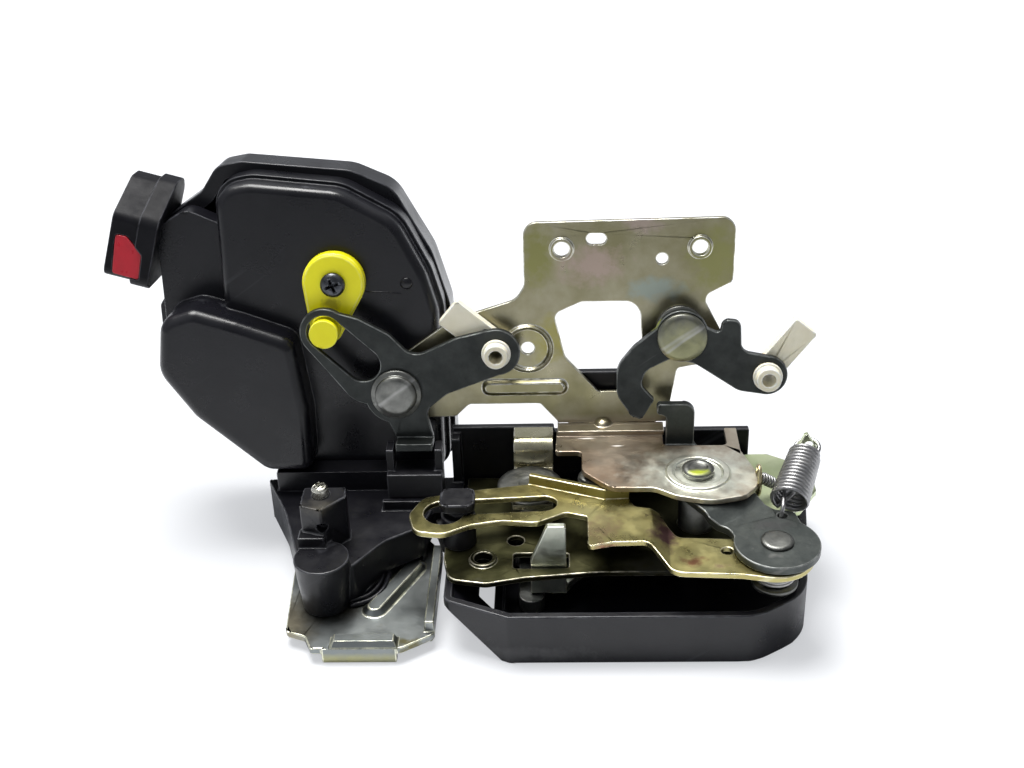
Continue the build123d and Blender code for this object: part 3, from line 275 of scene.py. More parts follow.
stain_and_highlight_blot.links.new(given.outputs["Place"], offset.inputs[1])
stain_and_highlight_blot.links.new(offset.outputs["Vector"], ratio.inputs[0])
stain_and_highlight_blot.links.new(given.outputs["Size"], ratio.inputs[1])
stain_and_highlight_blot.links.new(ratio.outputs["Vector"], reach.inputs[0])
stain_and_highlight_blot.links.new(spot.outputs["Object"], noise.inputs["Vector"])
stain_and_highlight_blot.links.new(given.outputs["Scale"], noise.inputs["Scale"])
stain_and_highlight_blot.links.new(noise.outputs["Fac"], wander.inputs["Value"])
stain_and_highlight_blot.links.new(wander.outputs["Result"], ragged.inputs[0])
stain_and_highlight_blot.links.new(given.outputs["Ragged"], ragged.inputs[1])
stain_and_highlight_blot.links.new(reach.outputs["Value"], sum_up.inputs[0])
stain_and_highlight_blot.links.new(ragged.outputs["Value"], sum_up.inputs[1])
stain_and_highlight_blot.links.new(sum_up.outputs["Value"], soft.inputs["Value"])
stain_and_highlight_blot.links.new(soft.outputs["Result"], result.inputs["Mask"])


def use_group(tree, group, **values):
    """Place a shared effect in a material with its own values."""
    node = tree.nodes.new("ShaderNodeGroup")
    node.node_tree = group
    for key, value in values.items():
        node.inputs[key].default_value = value
    return node


def blot(tree, place, size, ragged):
    """The mask of a ragged blot at a place, both in mm, for stains and for the bracket's painted
    highlight.
    """
    node = use_group(tree, stain_and_highlight_blot, Place=Vector(place) * MM, Size=Vector(size) * MM, Ragged=ragged)
    return node.outputs["Mask"]


def mix_colour(tree, mask, low, high):
    """Colour between two others by a mask; each may be a value or a socket."""
    mix = tree.nodes.new("ShaderNodeMix")
    mix.data_type = "RGBA"
    tree.links.new(mask, mix.inputs["Factor"])
    for socket, colour in (("A", low), ("B", high)):
        target = [s for s in mix.inputs if s.name == socket and s.type == "RGBA"][0]
        if isinstance(colour, tuple):
            target.default_value = (*colour, 1)
        else:
            tree.links.new(colour, target)
    return [s for s in mix.outputs if s.type == "RGBA"][0]


def spread(tree, mask, low, high):
    """A value that goes from low to high with a mask."""
    node = tree.nodes.new("ShaderNodeMapRange")
    node.inputs["To Min"].default_value = low
    node.inputs["To Max"].default_value = high
    tree.links.new(mask, node.inputs["Value"])
    return node.outputs["Result"]


def combine(tree, operation, first, second):
    """Two masks joined into one by an operation such as MULTIPLY or MAXIMUM."""
    node = tree.nodes.new("ShaderNodeMath")
    node.operation = operation
    tree.links.new(first, node.inputs[0])
    tree.links.new(second, node.inputs[1])
    return node.outputs["Value"]


def finish(name, base, second, metallic, rough, patch=60.0, seed=0.0, grain_scale=900.0,
           grain_strength=0.1, marks=None, mark_amount=0.66, mark_angle=0.6, worn=None,
           stains=(), tints=()):
    """A finish of two mottled colours with its roughness, grain, scratches and wear.

    Worn colours the rounded edges.  A stain is (place, size, colour, ragged), in mm,
    and hides the metal; a tint is the same, but only colours it.
    """
    material, tree, shader = new_material(name)
    clouds = use_group(tree, mottle, Scale=patch, Low=0.38, High=0.64, Seed=seed)
    colour = mix_colour(tree, clouds.outputs["Mask"], base, second)
    for place, size, tint, ragged_by in tints:
        colour = mix_colour(tree, blot(tree, place, size, ragged_by), colour, tint)
    if marks:
        lines = use_group(tree, scratches, Scale=260.0, Angle=mark_angle, Amount=mark_amount)
        colour = mix_colour(tree, lines.outputs["Mask"], colour, marks)
    if worn:
        edge = add_node(tree, "ShaderNodeAttribute", attribute_name="edge_wear")
        rubbed = use_group(tree, mottle, Scale=320.0, Low=0.32, High=0.58, Seed=seed + 1.0)
        rub = combine(tree, "MULTIPLY", edge.outputs["Fac"], rubbed.outputs["Mask"])
        colour = mix_colour(tree, rub, colour, worn)
    cover = None
    for place, size, stain_colour, ragged_by in stains:
        mask = blot(tree, place, size, ragged_by)
        colour = mix_colour(tree, mask, colour, stain_colour)
        cover = combine(tree, "MAXIMUM", cover, mask) if cover else mask
    tree.links.new(colour, shader.inputs["Base Color"])
    haze = use_group(tree, mottle, Scale=patch * 3.1, Low=0.35, High=0.7, Seed=seed + 3.0)
    tree.links.new(spread(tree, haze.outputs["Mask"], *rough), shader.inputs["Roughness"])
    if not metallic:
        shader.inputs["Specular IOR Level"].default_value = 0.4
    if cover and metallic:
        tree.links.new(spread(tree, cover, metallic, 0.0), shader.inputs["Metallic"])
    else:
        shader.inputs["Metallic"].default_value = metallic
    texture = use_group(tree, grain, Scale=grain_scale, Strength=grain_strength)
    tree.links.new(texture.outputs["Normal"], shader.inputs["Normal"])
    return material


# ------------------------------------------------------------------ latch case
# One tray of black glass-filled nylon that everything sits in, with a turret for
# the wiring boss.  Its rim and corners are rubbed grey by handling.
WEAR_ANGLE = math.radians(35.0)      # edges sharper than this are rounded
SMOOTH_SHARE = math.cos(math.radians(30.0))    # old faces closer than this shade as one
CORNER_DEPTH = 0.45                  # a rounded corner lies no deeper, in widths
SLIVER_AREA = 0.02 * MM * MM         # a face smaller than this has no shading of its own
OLD_FACE, EDGE_FACE = 0, 1           # what the rounding leaves, and what it makes


def place_piece(name, mesh, material, body):
    """Link a mesh as a piece that rides on a body, or on none if no body is given."""
    piece = bpy.data.objects.new(name, mesh)
    bpy.context.scene.collection.objects.link(piece)
    mesh.materials.clear()
    mesh.materials.append(material)
    if body:
        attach(piece, body)
    return piece


def mesh_from(work, name):
    """A mesh made from finished work, which is then put away."""
    mesh = bpy.data.meshes.new(name)
    work.to_mesh(mesh)
    work.free()
    return mesh


def bevelled(mesh, width):
    """The mesh with narrow faces along its sharp edges."""
    holder = bpy.data.objects.new("holder", mesh)
    bpy.context.scene.collection.objects.link(holder)
    mesh.shade_smooth()
    mesh.materials.clear()
    for kind in (OLD_FACE, EDGE_FACE):
        mesh.materials.append(None)
    bevel = holder.modifiers.new("edges", "BEVEL")
    bevel.width = width * MM
    bevel.segments = 2
    bevel.limit_method = "ANGLE"
    bevel.angle_limit = WEAR_ANGLE
    bevel.use_clamp_overlap = False
    bevel.material = EDGE_FACE
    ready = holder.evaluated_get(bpy.context.evaluated_depsgraph_get())
    plain = bpy.data.meshes.new_from_object(ready)
    bpy.data.objects.remove(holder)
    return plain


def set_back(mesh, width, surface):
    """Move the old faces, and corners that lie too deep, back onto the old surface."""
    flat = {i for face in mesh.polygons if face.material_index == OLD_FACE for i in face.vertices}
    for vertex in mesh.vertices:
        nearest, _, _, distance = surface.find_nearest(vertex.co)
        if distance > CORNER_DEPTH * width * MM or vertex.index in flat:
            vertex.co = nearest


def faces_meeting(mesh):
    """For each corner, the normals of the old faces there, or failing them the new ones.

    Each normal is as long as its face is large.
    """
    meeting = [[] for vertex in mesh.vertices]
    settled = set()
    for kind in (OLD_FACE, EDGE_FACE):
        faces = [face for face in mesh.polygons if face.material_index == kind]
        for face in faces:
            for index in face.vertices:
                if index not in settled:
                    meeting[index].append(face.normal * face.area)
        settled.update(index for face in faces for index in face.vertices)
    return meeting


def delete_folded(mesh, pulls):
    """Delete slivers that the rounding folded over, since they lie on other faces."""
    folded = [
        face.index for face in mesh.polygons
        if face.material_index == OLD_FACE
        and face.normal.dot(sum((pulls[i] for i in face.vertices), Vector())) < 0
    ]
    work = bmesh.new()
    work.from_mesh(mesh)
    work.faces.ensure_lookup_table()
    bmesh.ops.delete(work, geom=[work.faces[index] for index in folded], context="FACES_ONLY")
    work.to_mesh(mesh)
    work.free()


def shade_corners(mesh, meeting, pulls):
    """Smooth an old face's corner only towards the faces that carry on from it."""
    directions = []
    for face in mesh.polygons:
        for index in face.vertices:
            direction = pulls[index]
            if face.material_index == OLD_FACE and face.area > SLIVER_AREA:
                like = [
                    other for other in meeting[index]
                    if other.dot(face.normal) > SMOOTH_SHARE * other.length
                ]
                direction = sum(like, Vector()).normalized() if like else face.normal
            directions.append(direction)
    mesh.normals_split_custom_set(directions)


def round_edges(mesh, width, surface):
    """The mesh with its sharp edges rounded and those narrow faces marked as worn."""
    plain = bevelled(mesh, width)
    set_back(plain, width, surface)
    meeting = faces_meeting(plain)
    pulls = [sum(around, Vector()).normalized() for around in meeting]
    delete_folded(plain, pulls)
    wear = plain.attributes.new("edge_wear", "FLOAT", "FACE")
    wear.data.foreach_set("value", [float(face.material_index) for face in plain.polygons])
    shade_corners(plain, meeting, pulls)
    plain.polygons.foreach_set("material_index", [0] * len(plain.polygons))
    return plain


def rounded(names, material, body, width):
    """A copy of CAD nodes, joined, with their sharp edges rounded by a width in mm."""
    names = names.split()
    work = bmesh.new()
    for name in names:
        copy = nodes[name].data.copy()
        copy.transform(nodes[name].matrix_world)
        work.from_mesh(copy)
        bpy.data.meshes.remove(copy)
    bmesh.ops.remove_doubles(work, verts=work.verts, dist=0.004 * MM)
    bmesh.ops.dissolve_degenerate(work, edges=work.edges, dist=0.003 * MM)
    surface = BVHTree.FromBMesh(work)
    mesh = round_edges(mesh_from(work, names[0]), width, surface)
    piece = place_piece(names[0] + "_finish", mesh, material, body)
    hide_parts(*names)


case_black = finish(
    "case_black", (0.0034, 0.0034, 0.0052), (0.0062, 0.0062, 0.0090), 0.0, (0.27, 0.42),
    patch=45.0, grain_scale=1500.0, grain_strength=0.14, marks=(0.035, 0.036, 0.042),
    mark_amount=0.70, worn=(0.045, 0.046, 0.052),
    stains=[
        ((-80.0, -6.0, 31.0), (9.0, 9.0, 3.0), (0.05, 0.045, 0.035), 0.7),
        ((-30.0, -28.0, 3.0), (26.0, 3.0, 3.0), (0.03, 0.03, 0.032), 0.9),
    ],
)
rounded("latch_case", case_black, "frame", 0.45)

# ------------------------------------------------------------------ motor housing
# Two moulded shells of the same black nylon, screwed together round the lock
# motor; the front one's deck shows a witness bump and a faint flow ridge.
shell_black = finish(
    "shell_black", (0.0032, 0.0033, 0.0050), (0.0060, 0.0060, 0.0086), 0.0, (0.25, 0.38),
    patch=30.0, seed=11.0, grain_scale=1700.0, grain_strength=0.12,
    marks=(0.04, 0.041, 0.047), mark_amount=0.69, worn=(0.05, 0.051, 0.058),
)
rounded("front_shell", shell_black, "frame", 0.3)
rounded("rear_shell", shell_black, "frame", 0.4)
LEAN = math.radians(10.0)      # the upright sheet and what it carries lean back
FOLD_Y = 34.0                  # the fold where the upright sheet's face starts
FOLD_Z = 33.0
SHEET_NORMAL = Vector((0.0, -math.cos(LEAN), math.sin(LEAN)))
DECK = -2.0                    # the housing's flat face, behind the sheet's face


def on_sheet(u, w, h):
    """A place u across and w up the upright sheet, h in front of its face, in mm."""
    y = FOLD_Y + w * math.sin(LEAN) - h * math.cos(LEAN)
    z = FOLD_Z + w * math.cos(LEAN) + h * math.sin(LEAN)
    return Vector((u, y, z))


def standing(foot, axis):
    """The placement that stands a piece on a foot, in mm, along an axis."""
    turn = Vector(axis).to_track_quat("Z", "X").to_matrix().to_4x4()
    return Matrix.Translation(Vector(foot) * MM) @ turn


def skin(work, rings):
    """Outward faces between each ring of corners and the next; a ring may be one point."""
    for low, high in zip(rings, rings[1:]):
        for step in range(len(low)):
            after = (step + 1) % len(low)
            corners = list(dict.fromkeys((low[step], low[after], high[after], high[step])))
            if len(corners) > 2:
                work.faces.new(corners)
    bmesh.ops.recalc_face_normals(work, faces=work.faces)


def eased(profile, cut):
    """The (radius, height) profile with each of its corners cut off a little."""
    points = [profile[0]]
    for before, here, after in zip(profile, profile[1:], profile[2:]):
        for other in (before, after):
            length = math.dist(here, other)
            part = min(cut, 0.35 * length) / length
            points.append(tuple(a + (b - a) * part for a, b in zip(here, other)))
    points.append(profile[-1])
    return points


TURNED_SHARP = math.radians(50.0)    # a turned piece's edges sharper than this show
TURNED_STEPS = 48


def turned(name, profile, foot, axis, material, body, cut=0.2):
    """A turned piece from its (radius, height) profile, in mm, about an axis."""
    work = bmesh.new()
    rings = []
    for radius, height in eased(profile, cut):
        if radius == 0:
            rings.append([work.verts.new((0, 0, height * MM))] * TURNED_STEPS)
            continue
        ring = []
        for step in range(TURNED_STEPS):
            angle = 2 * math.pi * step / TURNED_STEPS
            x = radius * math.cos(angle) * MM
            y = radius * math.sin(angle) * MM
            ring.append(work.verts.new((x, y, height * MM)))
        rings.append(ring)
    skin(work, rings)
    mesh = mesh_from(work, name)
    mesh.transform(standing(foot, axis))
    mesh.shade_smooth()
    mesh.set_sharp_from_angle(angle=TURNED_SHARP)
    return place_piece(name, mesh, material, body)


def smooth_path(points, steps=6):
    """More points on a flowing curve through the given ones."""
    ends = [points[0] * 2 - points[1], *points, points[-1] * 2 - points[-2]]
    path = []
    for a, b, c, d in zip(ends, ends[1:], ends[2:], ends[3:]):
        for step in range(steps):
            t = step / steps
            path.append(
                0.5 * (
                    b * 2 + (c - a) * t + (a * 2 - b * 5 + c * 4 - d) * t * t
                    + (b * 3 - a - c * 3 + d) * t * t * t
                )
            )
    path.append(points[-1])
    return path


WIRE_END = ((0.45, 0.35), (0.3, 0.8))    # a domed end's rings: how far out, how wide


def wire(name, points, thick, material, body, sides=10):
    """A round wire along points, in mm, with domed ends."""
    work = bmesh.new()
    side = (points[1] - points[0]).normalized().orthogonal().normalized()
    rings = []
    last = len(points) - 1
    for index, point in enumerate(points):
        ahead = (points[min(index + 1, last)] - points[max(index - 1, 0)]).normalized()
        side = (side - ahead * side.dot(ahead)).normalized()
        across = ahead.cross(side)
        shells = [(0.0, 1.0)]
        if index == 0:
            shells = [(-out_by, scale) for out_by, scale in WIRE_END] + shells
        elif index == last:
            shells = shells + list(reversed(WIRE_END))
        for along_by, scale in shells:
            middle = point + ahead * along_by * thick / 2
            ring = []
            for step in range(sides):
                angle = 2 * math.pi * step / sides
                spoke = side * math.cos(angle) + across * math.sin(angle)
                ring.append(work.verts.new((middle + spoke * scale * thick / 2) * MM))
            rings.append(ring)
    work.faces.new(list(reversed(rings[0])))
    work.faces.new(rings[-1])
    skin(work, rings)
    mesh = mesh_from(work, name)
    mesh.shade_smooth()
    return place_piece(name, mesh, material, body)


turned(
    "housing_bump", [(0, -0.3), (1.7, -0.3), (1.7, 0.25), (1.0, 0.6), (0, 0.7)],
    on_sheet(-58.0, 42.2, DECK), SHEET_NORMAL, shell_black, "frame",
)
wire(
    "housing_ridge",
    [on_sheet(-69.2, 40.1, DECK), on_sheet(-64.4, 39.9, DECK), on_sheet(-59.6, 39.4, DECK)],
    0.35, shell_black, "frame",
)

# ------------------------------------------------------------------ wiring socket
# A black moulded mouth on the housing's side, with three rows of brass pins and a
# crimson locking wedge let into its wall.
socket_black = finish(
    "socket_black", (0.0034, 0.0034, 0.0050), (0.0070, 0.0070, 0.0095), 0.0, (0.46, 0.6),
    patch=80.0, seed=13.0, grain_scale=1600.0, grain_strength=0.10, worn=(0.05, 0.051, 0.058),
)
wedge_red = finish(
    "wedge_red", (0.50, 0.010, 0.024), (0.42, 0.008, 0.020), 0.0, (0.26, 0.4), patch=140.0,
    seed=9.0, grain_strength=0.05, worn=(0.42, 0.05, 0.06),
)
pin_brass = finish(
    "pin_brass", (0.72, 0.53, 0.22), (0.62, 0.45, 0.20), 1.0, (0.2, 0.35), patch=200.0,
    seed=3.0, grain_strength=0.03,
)
socket_black.node_tree.nodes["Principled BSDF"].inputs["Specular IOR Level"].default_value = 0.14
rounded("plug_socket", socket_black, "frame", 0.35)
rounded("lock_wedge", wedge_red, "frame", 0.2)
rounded("socket_pins", pin_brass, "frame", 0.08)

# ------------------------------------------------------------------ mounting bracket
# One pressed steel sheet, zinc plated and chromated: brassy on the upright part,
# rosier on the folded back plate, with dull grease and two pale press marks; a pale
# patch round the release lever's post is a painted highlight, for light from above.
PRESS_MARKS = [
    ((-9.0, 27.8, 33.0), (3.3, 0.4, 1.0), (0.9, 0.87, 0.8), 0.5),
    ((-0.6, 23.8, 33.0), (2.3, 0.4, 1.0), (0.9, 0.87, 0.8), 0.5),
]
# a painted highlight: a pale patch on the back plate round the release lever's post, lighter to
# stand for light falling on it from above
PAINTED_HIGHLIGHT_PATCH = ((20.5, 9.0, 33.0), (21.0, 16.0, 3.0), (0.92, 0.94, 0.82), 0.5)
ROSY_BELOW = 33.5              # the height where the rosy colour is full
BRASSY_ABOVE = 37.0
bracket_zinc = finish(
    "bracket_zinc", (0.27, 0.25, 0.14), (0.42, 0.39, 0.28), 1.0, (0.27, 0.44),
    patch=42.0, seed=2.0, grain_strength=0.06, marks=(0.70, 0.69, 0.62), mark_amount=0.70,
    worn=(0.80, 0.79, 0.70),
    stains=[
        (on_sheet(26.0, 27.0, 0.0), (9.0, 4.0, 9.0), (0.12, 0.105, 0.06), 0.9),
        (on_sheet(-36.0, 26.0, 0.0), (6.0, 4.0, 5.0), (0.10, 0.09, 0.055), 0.9),
        *PRESS_MARKS,
    ],
    tints=[
        (on_sheet(-7.0, 47.0, 0.0), (11.0, 6.0, 7.0), (0.44, 0.35, 0.29), 0.9),
        (on_sheet(6.0, 59.0, 0.0), (7.0, 4.0, 4.0), (0.44, 0.36, 0.30), 0.9),
        (on_sheet(-22.0, 50.0, 0.0), (6.0, 6.0, 11.0), (0.28, 0.275, 0.11), 0.8),
        (on_sheet(26.0, 48.0, 0.0), (9.0, 6.0, 13.0), (0.29, 0.285, 0.12), 0.8),
        (on_sheet(-14.0, 26.0, 0.0), (15.0, 6.0, 8.0), (0.34, 0.31, 0.12), 0.9),
        (on_sheet(10.0, 40.0, 0.0), (9.0, 5.0, 4.0), (0.32, 0.36, 0.31), 0.8),
    ],
)
tree = bracket_zinc.node_tree
shader = tree.nodes["Principled BSDF"]
plain_colour = shader.inputs["Base Color"].links[0].from_socket
rose = use_group(tree, mottle, Scale=34.0, Low=0.32, High=0.60, Seed=5.0)
rose_colour = mix_colour(tree, rose.outputs["Mask"], (0.39, 0.285, 0.20), (0.56, 0.50, 0.40))
along = add_node(tree, "ShaderNodeTexCoord")
part = add_node(tree, "ShaderNodeSeparateXYZ")
tree.links.new(along.outputs["Object"], part.inputs["Vector"])
low_part = add_node(tree, "ShaderNodeMapRange")
low_part.inputs["From Min"].default_value = BRASSY_ABOVE * MM
low_part.inputs["From Max"].default_value = ROSY_BELOW * MM
tree.links.new(part.outputs["Z"], low_part.inputs["Value"])
sheet_colour = mix_colour(tree, low_part.outputs["Result"], plain_colour, rose_colour)
# the press marks, then the painted highlight on the back plate
for place, size, tint, ragged_by in (*PRESS_MARKS, PAINTED_HIGHLIGHT_PATCH):
    sheet_colour = mix_colour(tree, blot(tree, place, size, ragged_by), sheet_colour, tint)
tree.links.new(sheet_colour, shader.inputs["Base Color"])
rounded("mounting_bracket back_plate", bracket_zinc, "frame", 0.28)

# ------------------------------------------------------------------ face plate
# The plate that screws to the door's rear edge: bright zinc with a pressed rib,
# smeared with dark grease round the boss and yellowed along its cut edges.
face_zinc = finish(
    "face_zinc", (0.20, 0.218, 0.218), (0.26, 0.275, 0.270), 1.0, (0.28, 0.42),
    patch=34.0, seed=7.0, grain_strength=0.09, marks=(0.22, 0.22, 0.20), mark_amount=0.71,
    mark_angle=1.1, worn=(0.78, 0.78, 0.62),
    tints=[
        ((-90.0, -18.0, 4.6), (12.0, 16.0, 5.0), (0.23, 0.21, 0.155), 0.35),
        ((-79.0, -10.0, 4.6), (14.0, 8.0, 5.0), (0.080, 0.075, 0.060), 0.4),
        ((-54.0, -26.0, 4.0), (6.0, 3.5, 4.0), (0.14, 0.13, 0.07), 1.2),
        ((-70.0, -29.0, 1.0), (30.0, 3.6, 2.6), (0.36, 0.35, 0.19), 0.3),
    ],
)
rounded("face_plate", face_zinc, "frame", 0.35)

# ------------------------------------------------------------------ web ribs
# Three nested ribs, moulded with the case where its web sweeps down behind the
# turret's boss; each lies a little further out than the one before.
RIB_PITCH = 1.9
for number in range(3):
    out_by = number * RIB_PITCH
    bend = [
        Vector((-72.6 - 0.2 * out_by, -10.4 + out_by, 5.2)),
        Vector((-67.6 - 0.4 * out_by, -8.4 + out_by, 5.6)),
        Vector((-64.4 - 0.7 * out_by, -4.4 + out_by, 6.2)),
        Vector((-63.4 - 0.8 * out_by, 1.6 + 0.6 * out_by, 6.6)),
    ]
    wire(f"web_rib_{number}", smooth_path(bend), 1.3, case_black, "frame")

# ------------------------------------------------------------------ base plate
# The plate across the top of the case: olive-gold chromate, dulled by grease
# round its bushes.
olive_zinc = finish(
    "olive_zinc", (0.050, 0.050, 0.022), (0.110, 0.106, 0.052), 1.0, (0.3, 0.5),
    patch=55.0, seed=21.0, grain_strength=0.07, marks=(0.5, 0.49, 0.36), mark_amount=0.70,
    worn=(0.74, 0.70, 0.55),
    stains=[
        ((-40.0, -20.0, 16.6), (8.0, 6.0, 2.0), (0.07, 0.068, 0.04), 0.8),
        ((-14.0, -24.0, 16.6), (12.0, 4.0, 2.0), (0.045, 0.043, 0.03), 0.9),
        ((10.0, -10.0, 16.6), (14.0, 8.0, 2.0), (0.05, 0.05, 0.035), 0.9),
    ],
)
rounded("base_plate", olive_zinc, "frame", 0.3)

# ------------------------------------------------------------------ spring anchor
# A bent plate with a pointed tongue for the release spring; its chromate is a
# pale green.
anchor_zinc = finish(
    "anchor_zinc", (0.46, 0.53, 0.30), (0.58, 0.63, 0.42), 0.85, (0.3, 0.45), patch=60.0,
    seed=23.0, grain_strength=0.06, marks=(0.75, 0.78, 0.6), mark_amount=0.7,
    worn=(0.85, 0.86, 0.74),
)
rounded("spring_anchor", anchor_zinc, "frame", 0.28)

# ------------------------------------------------------------------ catch
# Claw of dark hardened steel, pawl of bright plate whose nose shows in the case,
# the bent strap that holds the claw's pivot, and a rubber bumper in the mouth.
claw_steel = finish(
    "claw_steel", (0.09, 0.095, 0.09), (0.16, 0.165, 0.155), 0.9, (0.34, 0.5), patch=150.0,
    seed=31.0, grain_strength=0.2, marks=(0.3, 0.3, 0.28), mark_amount=0.68,
    worn=(0.4, 0.4, 0.38),
)
pawl_zinc = finish(
    "pawl_zinc", (0.55, 0.60, 0.50), (0.70, 0.73, 0.62), 1.0, (0.28, 0.5), patch=120.0,
    seed=33.0, grain_strength=0.10, marks=(0.4, 0.42, 0.36), mark_amount=0.68,
    worn=(0.86, 0.86, 0.76),
)
strap_zinc = finish(
    "strap_zinc", (0.42, 0.40, 0.27), (0.62, 0.58, 0.44), 1.0, (0.2, 0.36), patch=50.0,
    seed=35.0, grain_strength=0.05, marks=(0.8, 0.78, 0.68), mark_amount=0.7,
    worn=(0.86, 0.84, 0.74),
)
bumper_rubber = finish(
    "bumper_rubber", (0.014, 0.014, 0.014), (0.022, 0.022, 0.021), 0.0, (0.6, 0.75),
    patch=90.0, grain_strength=0.1,
)
rounded("claw", claw_steel, "claw", 0.3)
rounded("pawl", pawl_zinc, "pawl", 0.3)
rounded("claw_strap", strap_zinc, "frame", 0.28)
rounded("mouth_bumper", bumper_rubber, "frame", 0.4)

# ------------------------------------------------------------------ link
# The long link from the release lever to the case's knob: gold chromate worn
# pinkish at the middle, with a purple-brown rust patch where it steps down.
link_gold = finish(
    "link_gold", (0.37, 0.32, 0.125), (0.46, 0.42, 0.195), 1.0, (0.24, 0.42),
    patch=46.0, seed=41.0, grain_strength=0.05, marks=(0.72, 0.68, 0.5), mark_amount=0.70,
    worn=(0.86, 0.80, 0.56),
    tints=[
        ((-50.0, 3.0, 27.0), (30.0, 16.0, 6.0), (0.12, 0.11, 0.045), 0.6),
        ((-6.0, -9.0, 26.6), (7.0, 8.0, 4.0), (0.36, 0.28, 0.15), 1.2),
        ((9.8, -8.0, 26.0), (5.0, 9.0, 4.0), (0.14, 0.075, 0.075), 0.9),
        ((16.5, -20.0, 25.0), (4.0, 3.0, 3.0), (0.22, 0.11, 0.06), 1.2),
        ((-4.0, -15.4, 26.0), (4.0, 2.2, 3.0), (0.34, 0.18, 0.12), 0.9),
    ],
    stains=[
        ((24.0, -22.0, 25.0), (2.4, 1.6, 3.0), (0.12, 0.06, 0.04), 1.3),
        ((-34.0, 3.0, 27.0), (15.0, 1.2, 2.0), (0.06, 0.055, 0.035), 0.9),
    ],
)
rounded("link", link_gold, "link", 0.3)

# ------------------------------------------------------------------ release lever
# A thick pressed lever in dark grey-green phosphate, its edges polished by use.
# It turns on its riveted post and carries the link's rivet at its front.
lever_phosphate = finish(
    "lever_phosphate", (0.052, 0.059, 0.056), (0.082, 0.090, 0.084), 0.7, (0.36, 0.52),
    patch=160.0, seed=1.0, grain_scale=1400.0, grain_strength=0.22, marks=(0.19, 0.19, 0.18),
    mark_amount=0.69, worn=(0.26, 0.27, 0.26),
    stains=[((38.0, -8.0, 28.9), (6.0, 3.0, 2.0), (0.03, 0.031, 0.03), 0.9)],
)
rounded("release_lever", lever_phosphate, "release", 0.32)

# ------------------------------------------------------------------ pivots
# Turned steel posts, each riveted over its lever; the heads are dull and dished
# by the riveting tool.  Profiles are (radius, height) in mm.
rivet_steel = finish(
    "rivet_steel", (0.13, 0.133, 0.124), (0.23, 0.232, 0.216), 1.0, (0.34, 0.52), patch=170.0,
    seed=4.0, grain_strength=0.22, marks=(0.5, 0.5, 0.48), mark_amount=0.66,
    tints=[(on_sheet(17.0, 26.0, 8.0), (11.0, 9.0, 11.0), (0.29, 0.29, 0.17), 0.5)],
    stains=[
        ((20.6, 7.6, 35.0), (3.4, 2.0, 1.6), (0.36, 0.42, 0.02), 0.5),
        (on_sheet(17.0, 22.6, 8.0), (4.0, 3.0, 1.4), (0.10, 0.08, 0.05), 0.9),
    ],
)
for node, body, place, axis, profile in (
    ("claw_pivot", "frame", (-24.7, 16.0, 0.0), (0, 0, 1), [
        (0, 2.0), (6, 2.0), (6, 3.0), (4, 3.0), (4, 7.4), (5.4, 7.4), (5.4, 15.0), (4, 15.0),
        (4, 16.6), (5.4, 16.6), (5.4, 23.2), (4, 23.2), (4, 24.8), (9, 24.8), (9, 25.9),
        (7.6, 26.2), (3.4, 26.2), (2.8, 26.0), (0, 26.0),
    ]),
    ("pawl_pivot", "frame", (-7.6, 15.0, 0.0), (0, 0, 1), [
        (0, 2.0), (4.6, 2.0), (4.6, 3.0), (3.2, 3.0), (3.2, 10.0), (4.6, 10.0), (4.6, 15.0),
        (3.2, 15.0), (3.2, 16.6), (4, 16.6), (4, 28.4), (3.8, 28.4), (3.8, 29.3), (2.6, 29.6),
        (0, 29.6),
    ]),
    ("release_pivot", "frame", (20.5, 10.0, 0.0), (0, 0, 1), [
        (0, 2.0), (5, 2.0), (5, 28.7), (4, 28.7), (4, 33.0), (4.3, 33.0), (4.3, 34.6),
        (3.4, 35.0), (2.6, 35.0), (2.3, 34.7), (0, 34.7),
    ]),
    ("link_rivet", "release", (38.5, -15.5, 0.0), (0, 0, 1), [
        (0, 15.7), (6, 15.7), (6, 17.0), (3.5, 17.0), (3.5, 28.7), (4.2, 28.7), (4.2, 29.4),
        (3.3, 29.7), (0, 29.6),
    ]),
    ("lock_pivot", "frame", on_sheet(-61.3, 13.2, 0.0), SHEET_NORMAL, [
        (0, 0.0), (6.6, 0.0), (6.6, 4.2), (4.5, 4.2), (4.5, 6.8), (7.0, 6.8), (7.0, 7.8),
        (5.7, 7.8), (5.7, 9.1), (4.6, 9.6), (2.2, 9.5), (0, 9.3),
    ]),
    ("handle_pivot", "frame", on_sheet(17.0, 29.0, 0.0), SHEET_NORMAL, [
        (0, 0.0), (6.6, 0.0), (6.6, 1.8), (4.5, 1.8), (4.5, 8.0), (6.7, 8.0), (6.7, 9.5),
        (5.4, 10.0), (2.4, 9.9), (0, 9.7),
    ]),
):
    post = turned(node + "_turned", profile, place, axis, rivet_steel, body, cut=0.18)
    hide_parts(node)

# ------------------------------------------------------------------ case knob, slider and pin
# The moulded knob that guides the link, the black slider that the lock lever
# drives, and the bright steel stop pin in the turret.
moulded_black = finish(
    "moulded_black", (0.0036, 0.0036, 0.0052), (0.0066, 0.0066, 0.0090), 0.0, (0.3, 0.46),
    patch=110.0, seed=15.0, grain_scale=1500.0, grain_strength=0.12, worn=(0.05, 0.051, 0.058),
)
greasy_steel = finish(
    "greasy_steel", (0.50, 0.49, 0.42), (0.72, 0.71, 0.64), 1.0, (0.16, 0.4), patch=420.0,
    seed=17.0, grain_strength=0.12,
    stains=[((-80.4, 4.4, 32.0), (2.4, 2.4, 1.4), (0.05, 0.045, 0.03), 1.2)],
)
rounded("guide_knob", moulded_black, "frame", 0.5)
rounded("lock_slider", moulded_black, "lock_slider", 0.35)
rounded("stop_pin", greasy_steel, "frame", 0.5)

